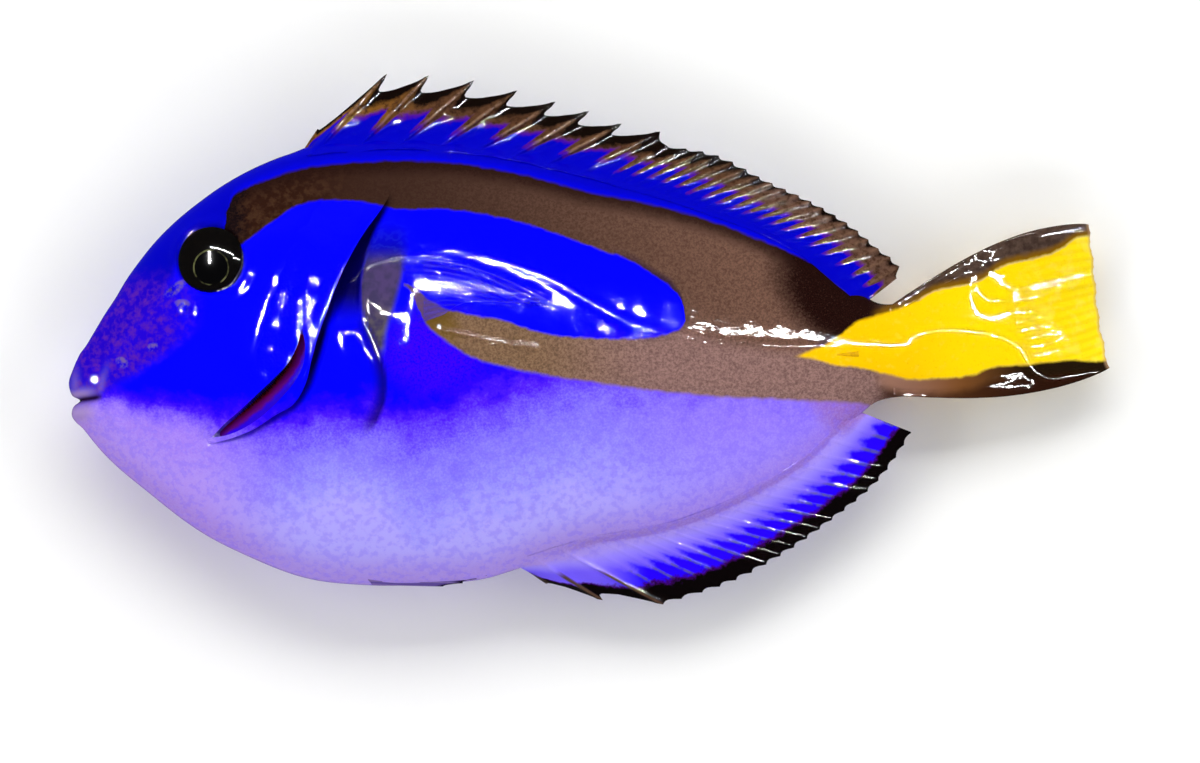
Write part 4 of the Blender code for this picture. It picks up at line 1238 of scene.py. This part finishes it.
# %% One recipe for all fins
def columns_between(count, inside):
    """Ray numbers for the columns of a fin, with a few columns between every two rays."""
    steps = [i + share for i in range(count - 1) for share in inside]
    return np.array(steps + [count - 1.0])


FIN_WALL = 0.18
FOOT_REACH = 1.4
FOOT_SHARE = 0.97
ROOT_SINK = 0.7
SOFT_COLUMNS = (0, 0.14, 0.3, 0.5, 0.7, 0.86)


def make_fin(rays, roots, tips, edge_share, place, thickness, rows=30, foot=0.0):
    """Lay a sheet over its rays and give it thickness.

    rays are the columns' ray numbers, roots and tips one point a ray, edge_share tells how
    far the skin reaches between two rays, place puts a flat point on the fish, and thickness
    gives the wall in millimetres from the ray number, the reach and the nearness to a ray.
    A foot of 1 makes the root as wide as the body there, so that one runs into the other.
    """
    sheet, across, reach = flat_grid(len(rays) - 1, rows)
    column = np.rint(across * (len(rays) - 1)).astype(int)
    ray = rays[column]
    number = np.clip(np.floor(ray), 0, len(roots) - 2).astype(int)
    part = ray - number
    roots, tips = np.array(roots, float), np.array(tips, float)
    root = roots[number] + (roots[number + 1] - roots[number]) * part[:, None]
    tip = tips[number] + (tips[number + 1] - tips[number]) * part[:, None]
    spacing = np.linalg.norm(roots[number + 1] - roots[number], axis=1) * (1 - reach)
    spacing += np.linalg.norm(tips[number + 1] - tips[number], axis=1) * reach
    nearness = np.minimum(part, 1 - part) * spacing
    along = tip - root
    flat = root + along * (reach * edge_share(ray, part))[:, None]
    lay_sheet(sheet, place(flat[:, 0], flat[:, 1], reach, ray), (0, 0, 1))
    set_attribute(sheet, "ray", ray)
    set_attribute(sheet, "reach", reach)
    set_attribute(sheet, "off_ray", nearness)
    wall = thickness(ray, reach, nearness)
    from_root = reach * np.linalg.norm(along, axis=1)
    inner = span(ray, -0.5, 1.0, rays[-1] - 1.0, rays[-1] + 0.5)
    wall += 2 * foot * inner * flank(root[:, 0], root[:, 1], ()) * np.exp(-from_root / FOOT_REACH)
    group = sheet.vertex_groups.new(name="wall")
    for i, share in enumerate(wall / wall.max()):
        group.add([i], float(share), "REPLACE")
    use_modifier(sheet, "SOLIDIFY", thickness=float(wall.max()) * MM, offset=0.0,
                 vertex_group=group.name)
    sheet.vertex_groups.clear()
    return sheet


def spines_and_rays(spines, soft_rays, base, edge, root_height, spine_columns):
    """Columns, roots and tips of a fin that has spines in front and soft rays behind them."""
    shares = np.linspace(0, 1, soft_rays)
    root_x = np.array([spine[0] for spine in spines] + list(base[0] + (base[1] - base[0]) * shares))
    roots = np.stack((root_x, root_height(root_x)), axis=1)
    tips = np.concatenate(([spine[1:] for spine in spines], smooth_path(edge)(shares ** 0.9)))
    soft = columns_between(soft_rays + 1, SOFT_COLUMNS) + len(spines) - 1
    columns = np.concatenate((columns_between(len(spines), spine_columns)[:-1], soft))
    return columns, roots, tips


# %% The dorsal fin
DORSAL_SPINES = [(19.9, 21.6, 20.6), (21.0, 27.7, 25.1), (24.6, 31.2, 24.8), (28.0, 35.0, 24.2),
                 (31.3, 38.6, 23.2), (34.4, 41.8, 22.1), (37.4, 44.6, 21.2), (40.3, 47.3, 20.0),
                 (43.1, 50.5, 19.2)]
DORSAL_SOFT = 20
DORSAL_BASE = (45.2, 67.0)
DORSAL_EDGE = [(51.0, 18.0), (55.5, 16.9), (59.1, 14.8), (63.4, 12.5), (66.7, 10.2), (68.6, 8.4),
               (70.2, 6.8), (69.9, 5.9)]
DORSAL_FILM = [(23.6, 21.5), (27.0, 21.2), (31.2, 21.5), (35.5, 20.7), (39.6, 18.3), (42.5, 17.2),
               (45.4, 16.2), (48.8, 14.7), (53.0, 13.8), (56.0, 13.1), (58.7, 12.6), (61.3, 11.8),
               (64.0, 11.6)]
DORSAL_COLUMNS = (0, 0.04, 0.08, 0.13, 0.2, 0.3, 0.42, 0.55, 0.68, 0.8, 0.88, 0.94, 0.97)
SPINES = len(DORSAL_SPINES)


def dorsal_share(ray, part):
    spiny = np.interp(part, (0, 0.04, 0.1, 0.22, 0.5, 0.85, 0.97, 1),
                      (1, 0.93, 0.82, 0.78, 0.8, 0.9, 0.97, 1))
    soft = 1 - 0.045 * np.sin(np.pi * part)
    return np.where(ray < SPINES - 1, spiny, soft)


def dorsal_place(x, y, reach, ray):
    sag = np.where(ray < SPINES - 1, 0.30, 0.10) * np.sin(np.pi * (ray % 1)) ** 2 * reach
    waves = (0.28 - 0.2 * fade(x, 44, 50)) * wobble(x, y, 1.0, 1.6)
    z = -0.8 * reach ** 2 - sag + waves * reach
    film, _ = edge_gap(x, y, DORSAL_FILM)
    z += 0.14 * hill(film, 0, 0.4) * reach
    return np.stack((x, y, z), axis=1)


def dorsal_wall(ray, reach, nearness):
    spiny = ray < SPINES - 0.5
    rise = np.where(spiny, 0.5, 0.07) * (1 - np.where(spiny, 0.75, 0.5) * reach)
    rise = rise * fade(reach, 0.05, 0.3)
    width = np.where(spiny, 0.26 - 0.12 * reach, 0.2)
    return FIN_WALL + rise * np.exp(-(nearness / width) ** 2)


columns, roots, tips = spines_and_rays(DORSAL_SPINES, DORSAL_SOFT, DORSAL_BASE, DORSAL_EDGE,
                                       lambda x: back_at(x) - ROOT_SINK, DORSAL_COLUMNS)
dorsal = make_fin(columns, roots, tips, dorsal_share, dorsal_place, dorsal_wall, rows=44,
                  foot=FOOT_SHARE)

# %% The anal fin
ANAL_SPINES = [(36.4, 39.4, -18.5), (38.0, 43.9, -20.1), (40.2, 49.0, -20.7)]
ANAL_SOFT = 19
ANAL_BASE = (42.0, 65.8)
ANAL_EDGE = [(50.6, -20.3), (54.8, -19.1), (59.9, -16.6), (64.0, -13.9), (67.8, -10.9),
             (69.6, -8.6), (70.6, -7.1)]
ANAL_COLUMNS = (0, 0.05, 0.1, 0.2, 0.35, 0.5, 0.65, 0.8, 0.9, 0.95)
ANAL_FIRST = len(ANAL_SPINES)


def anal_share(ray, part):
    spiny = np.interp(part, (0, 0.05, 0.15, 0.5, 0.9, 1), (1, 0.92, 0.84, 0.84, 0.95, 1))
    soft = 1 - 0.035 * np.sin(np.pi * part)
    return np.where(ray < ANAL_FIRST - 1, spiny, soft)


def anal_place(x, y, reach, ray):
    z = -1.2 * reach ** 2 + 0.22 * wobble(x, y, 2.2, 1.5) * reach
    return np.stack((x, y, z), axis=1)


def anal_wall(ray, reach, nearness):
    spiny = ray < ANAL_FIRST - 0.5
    rise = np.where(spiny, 0.45, 0.09) * (1 - 0.55 * reach) * fade(reach, 0.1, 0.4)
    return FIN_WALL + rise * np.exp(-(nearness / 0.21) ** 2)


columns, roots, tips = spines_and_rays(ANAL_SPINES, ANAL_SOFT, ANAL_BASE, ANAL_EDGE,
                                       lambda x: belly_at(x) + ROOT_SINK, ANAL_COLUMNS)
anal = make_fin(columns, roots, tips, anal_share, anal_place, anal_wall, rows=38, foot=FOOT_SHARE)

# %% The tail fin
TAIL_RAYS = 18
TAIL_REAR = [(86.4, 9.8), (86.7, 6.3), (87.0, 1.5), (87.6, -2.4)]
TAIL_ROOT_X = 69.2
TAIL_ROOT_TOP, TAIL_ROOT_DEPTH = 3.6, 7.5
TAIL_BOW = (1.58, -1.3)
EVEN_COLUMNS = (0, 0.2, 0.4, 0.6, 0.8)

shares = np.linspace(0, 1, TAIL_RAYS)
tail_roots = np.stack((np.full(TAIL_RAYS, TAIL_ROOT_X),
                       TAIL_ROOT_TOP - TAIL_ROOT_DEPTH * shares), axis=1)
tail_tips = smooth_path(TAIL_REAR)(shares)


def tail_share(ray, part):
    return 1 - 0.003 * np.sin(np.pi * part) + 0.004 * np.sin(1.9 * ray)


def tail_place(x, y, reach, ray):
    share = ray / (TAIL_RAYS - 1)
    bow = (TAIL_BOW[0] + (TAIL_BOW[1] - TAIL_BOW[0]) * share) * np.sin(np.pi * reach ** 1.2) ** 0.8
    y = y + bow
    z = tail_sink(x, y) + 0.55 * hill(share, 1.0, 0.12) * fade(x, 75.4, 84.0)
    return np.stack((x, y, z), axis=1)


def tail_wall(ray, reach, nearness):
    ridge = 0.03 * fade(reach, 0.6, 0.8) * np.exp(-(nearness / 0.14) ** 2)
    return 0.2 + 1.7 * np.exp(-reach / 0.09) + ridge


tail = make_fin(columns_between(TAIL_RAYS, EVEN_COLUMNS), tail_roots, tail_tips, tail_share,
                tail_place, tail_wall, rows=64)

# %% The pectoral fins
PECTORAL_RAYS = 12
PECTORAL_ROOTS = [(28.0, 9.4), (28.6, 7.9), (29.1, 6.0), (29.6, 3.9)]
PECTORAL_EDGE = [(40.6, 5.3), (38.4, 5.1), (35.8, 5.4), (33.4, 5.4), (31.6, 4.5)]
FLOOR_ROOM = 5.05

shares = np.linspace(0, 1, PECTORAL_RAYS)
pectoral_roots = smooth_path(PECTORAL_ROOTS)(shares)
pectoral_tips = smooth_path(PECTORAL_EDGE)(shares)


def pectoral_wall(ray, reach, nearness):
    root = 0.16 * np.exp(-reach / 0.12)
    return 0.13 + root + 0.16 * (1 - 0.6 * reach) * np.exp(-(nearness / 0.15) ** 2)


pectorals = []
for _, side in SIDES:
    def pectoral_place(x, y, reach, ray):
        share = ray / (PECTORAL_RAYS - 1)
        bent = y + (1 - share) * np.sin(np.pi * reach)
        lift = -0.14 + 0.58 * fade(reach, 0.0, 0.35) + 0.03 * wobble(x, bent, 3.1, 1.6) * reach
        height = flank(x, bent) + lift
        if side < 0:
            height = np.minimum(height, FLOOR_ROOM)
        return np.stack((x, bent, side * height), axis=1)

    pectorals.append(make_fin(columns_between(PECTORAL_RAYS, EVEN_COLUMNS), pectoral_roots,
                              pectoral_tips, lambda ray, part: 1 - 0.03 * np.sin(np.pi * part),
                              pectoral_place, pectoral_wall, rows=34))

# %% The pelvic fins
PELVIC_ROOTS = [(23.9, -16.6), (24.1, -17.1), (24.3, -17.5), (24.6, -17.9)]
PELVIC_TIPS = [(34.3, -17.5), (33.4, -17.8), (32.2, -18.1), (30.5, -18.3)]
PELVIC_COLUMNS = (0, 0.15, 0.3, 0.5, 0.7, 0.85)


def pelvic_wall(ray, reach, nearness):
    rise = np.where(ray < 0.5, 0.42, 0.16) * (1 - 0.6 * reach)
    return 0.14 + rise * np.exp(-(nearness / 0.16) ** 2)


pelvics = []
for _, side in SIDES:
    def pelvic_place(x, y, reach, ray):
        height = 1.55 - 0.35 * reach + (y + 17.0) * 0.62 + 0.05 * wobble(x, y, 4.0, 1.0)
        return np.stack((x, y, side * height), axis=1)

    pelvics.append(make_fin(columns_between(len(PELVIC_ROOTS), PELVIC_COLUMNS), PELVIC_ROOTS,
                            PELVIC_TIPS, lambda ray, part: 1 - 0.05 * np.sin(np.pi * part),
                            pelvic_place, pelvic_wall, rows=30))

# %% [markdown]
# ## Colours of the fins
#
# On the back the fin is blue at its foot, and the blue licks up between the brown rays
# towards a nearly black edge. The fin below is paler at its foot. The tail is yellow between
# two dark margins, which are drawn with the same lines as the wedge on the tail stalk.

# %% The group "fin relief"
JOINT_RATE = 150.0
fin_relief, given, made = new_group(
    "fin relief", {"Reach": 0.0, "Off ray": 0.0, "Ray depth": 0.03, "Ripple depth": 0.1},
    ("Height", "On ray"))
on_ray = given["Off ray"].step(0.24, 0.06)
joints = maths("SINE", given["Reach"] * JOINT_RATE) * 0.12 + 1.0
film = use_group(wet_relief, given["Place"], scale_depth=0.002,
                 ripple_depth=given["Ripple depth"])
feed(made["Height"], film["Height"] + on_ray * joints * given["Ray depth"])
feed(made["On ray"], on_ray)


def start_fin(name, ray_depth, ripple_depth=0.1):
    """A fin's material with its relief, and the numbers stored on its points."""
    finish, shader, place = new_finish(name)
    reach, off_ray = stored(shader, "reach"), stored(shader, "off_ray")
    relief = use_group(fin_relief, place, reach=reach, off_ray=off_ray, ray_depth=ray_depth,
                       ripple_depth=ripple_depth)
    add_bump(shader, relief["Height"])
    return finish, shader, place, reach, off_ray, relief["On ray"]


# %% Paint the dorsal fin
dorsal_finish, shader, place, reach, off_ray, _ = start_fin("wet dorsal fin", 0.012, 0.06)
x, _ = split(place)
grain = speckle(place, 2.2, 3.0, 0.6)
sway, slow_sway = grain - 0.5, speckle(place, 0.45) - 0.5
rear = x.step(54.0, 62.0)
spiny = x.step(48.0, 45.0)
middle_part = x.step(38.0, 43.0) * x.step(57.0, 51.0)
bay = paint(spiny, off_ray.step(0.10, 0.36), off_ray.step(0.25, 0.7))
wedge = reach + bay * -0.27 + sway * 0.14 + slow_sway * 0.2
violet_rim = wedge.step(0.24, 0.31) * wedge.step(0.42, 0.33)
dark = reach + maths("MINIMUM", off_ray, 0.8) * 0.16 + middle_part * 0.12
dark = dark + slow_sway * 0.3 + sway * 0.12 + rear * -0.08
brown = layers(paint(x.step(33.0, 25.0), (88, 58, 38), (128, 84, 30)),
               (rear, 1, (100, 72, 58)),
               (off_ray.step(0.16, 0.0) * (spiny * 0.5 + 0.25), 1, (142, 108, 82)),
               (grain.step(0.4, 0.75), 1, (56, 34, 22)))
colour = layers(paint(wedge.step(0.30, 0.37), (0, 0, 190), brown),
                (violet_rim, 0.6, (92, 14, 130)),
                (dark.step(0.84, 1.0), 1, (14, 5, 2)))
feed(shader.inputs["Base Color"], colour)
hand_over(dorsal, "dorsal_fin_rays", dorsal_finish, "blue_fin", "dorsal_fin")

# %% Paint the anal fin
anal_finish, shader, place, reach, off_ray, on_ray = start_fin("wet anal fin", 0.012, 0.06)
x, _ = split(place)
grain = speckle(place, 2.2, 3.0, 0.6)
sway, slow_sway = grain - 0.5, speckle(place, 0.6) - 0.5
tongue = reach + off_ray * 0.2 + sway * 0.14 + slow_sway * 0.14
ray_part = off_ray.step(0.24, 0.04) * reach.step(0.46, 0.6) * grain.step(0.3, 0.55)
margin = reach + sway * 0.14 + slow_sway * 0.10 + off_ray * -0.05 + x.step(52.0, 44.0) * 0.08
first_rays = stored(shader, "ray").step(2.5, 2.2) * on_ray * reach.step(0.35, 0.5)
colour = layers(paint(reach.step(0.2, 0.5), (160, 142, 255), (116, 92, 255)),
                (reach.step(0.30, 0.16), 1, use_group(markings, place)["Colour"]),
                (tongue.step(0.50, 0.66) * x.step(43.5, 48.0), 1, (38, 0, 255)),
                (ray_part, 0.75, (96, 88, 128)),
                (margin.step(0.72, 0.79), 1, (60, 2, 96)),
                (margin.step(0.77, 0.82), 1, (5, 1, 2)),
                (first_rays, 1, (84, 62, 50)))
feed(shader.inputs["Base Color"], colour)
hand_over(anal, "anal_fin_rays", anal_finish, "violet_fin", "anal_fin")

# %% Paint the tail fin
tail_finish, shader, place, reach, _, on_ray = start_fin("wet tail fin", 0.004, 0.04)
x, _ = split(place)
pattern = use_group(markings, place)
rear_yellow = pattern["Yellow"] * x.step(79.0, 85.0)
# Pale streaks over the rear of the yellow are a painted highlight, for the sheen of the wet fin.
sheen_streaks = speckle(place, 0.9).step(0.45, 0.7) * rear_yellow
colour = layers(pattern["Colour"],
                (on_ray * rear_yellow, 0.16, (214, 150, 0)),
                (sheen_streaks, 0.2, (255, 240, 130)),
                (reach.step(0.98, 1.0), 0.5, (214, 170, 130)))
feed(shader.inputs["Base Color"], colour)
hand_over(tail, "tail_fin_rays", tail_finish, "yellow_fin", "tail_fin")

# %% Paint the pectoral fins: clear as glass but for their rim and first ray
pectoral_finish, shader, _, reach, _, on_ray = start_fin("clear pectoral fin", 0.006, 0.02)
feed(shader.inputs["Base Color"], paint(on_ray, (10, 4, 250), (50, 40, 226)))
first_ray = stored(shader, "ray").step(0.35, 0.05)
rim = maths("MAXIMUM", reach.step(0.93, 0.985), first_ray) * reach.step(0.1, 0.2)
feed(shader.inputs["Alpha"], maths("MAXIMUM", on_ray * 0.12 + 0.12, rim * 0.5))
feed(shader.inputs["Coat Weight"], maths("MAXIMUM", rim, 0.04))
for fin, (side_name, _) in zip(pectorals, SIDES):
    hand_over(fin, f"{side_name}_pectoral_rays", pectoral_finish, "blue_fin",
              f"{side_name}_pectoral_fin")

# %% Paint the pelvic fins
pelvic_finish, shader, _, reach, _, on_ray = start_fin("wet pelvic fin", 0.03)
colour = layers(paint(on_ray, (100, 80, 160), (132, 110, 176)),
                (stored(shader, "ray").step(0.5, 0.2), 1, (46, 26, 40)),
                (reach.step(0.85, 1.0), 1, (20, 8, 20)))
feed(shader.inputs["Base Color"], colour)
for fin, (side_name, _) in zip(pelvics, SIDES):
    hand_over(fin, f"{side_name}_pelvic_rays", pelvic_finish, "violet_fin",
              f"{side_name}_pelvic_fin")

# %% [markdown]
# ## Tail blades
#
# Surgeonfish carry a folding blade on each side of the tail stalk. It lies in a slot and
# points forward. A cone is stretched into a thin blade and half sunk in the skin.

# %% Make both tail blades
BLADE_LENGTH = 2.4
BLADE_ROOT, BLADE_TIP = 0.26, 0.04
BLADE_FLATNESS = 0.45
BLADE_SINK = 0.04
BLADE_PLACE = (65.2, -0.3)

blade_finish, shader, place = new_finish("pale blade", roughness=0.3)
feed(shader.inputs["Base Color"], paint(speckle(place, 3.0), (250, 196, 10), (176, 122, 12)))
for side_name, side in SIDES:
    deselect()
    bpy.ops.mesh.primitive_cone_add(vertices=24, radius1=BLADE_ROOT * MM, radius2=BLADE_TIP * MM,
                                    depth=BLADE_LENGTH * MM, rotation=(0, -math.pi / 2, 0))
    blade = bpy.context.object
    own_place(blade)
    corners = read_points(blade) / MM
    bx, by = corners[:, 0] + BLADE_PLACE[0], corners[:, 1] + BLADE_PLACE[1]
    height = side * (flank(bx, by) - BLADE_SINK) + corners[:, 2] * BLADE_FLATNESS
    set_places(blade, np.stack((bx, by, height), axis=1))
    use_modifier(blade, "BEVEL", width=EDGE_ROUNDING * MM, segments=2)
    hand_over(blade, f"{side_name}_tail_blade", blade_finish, "bone", f"{side_name}_tail_spine")
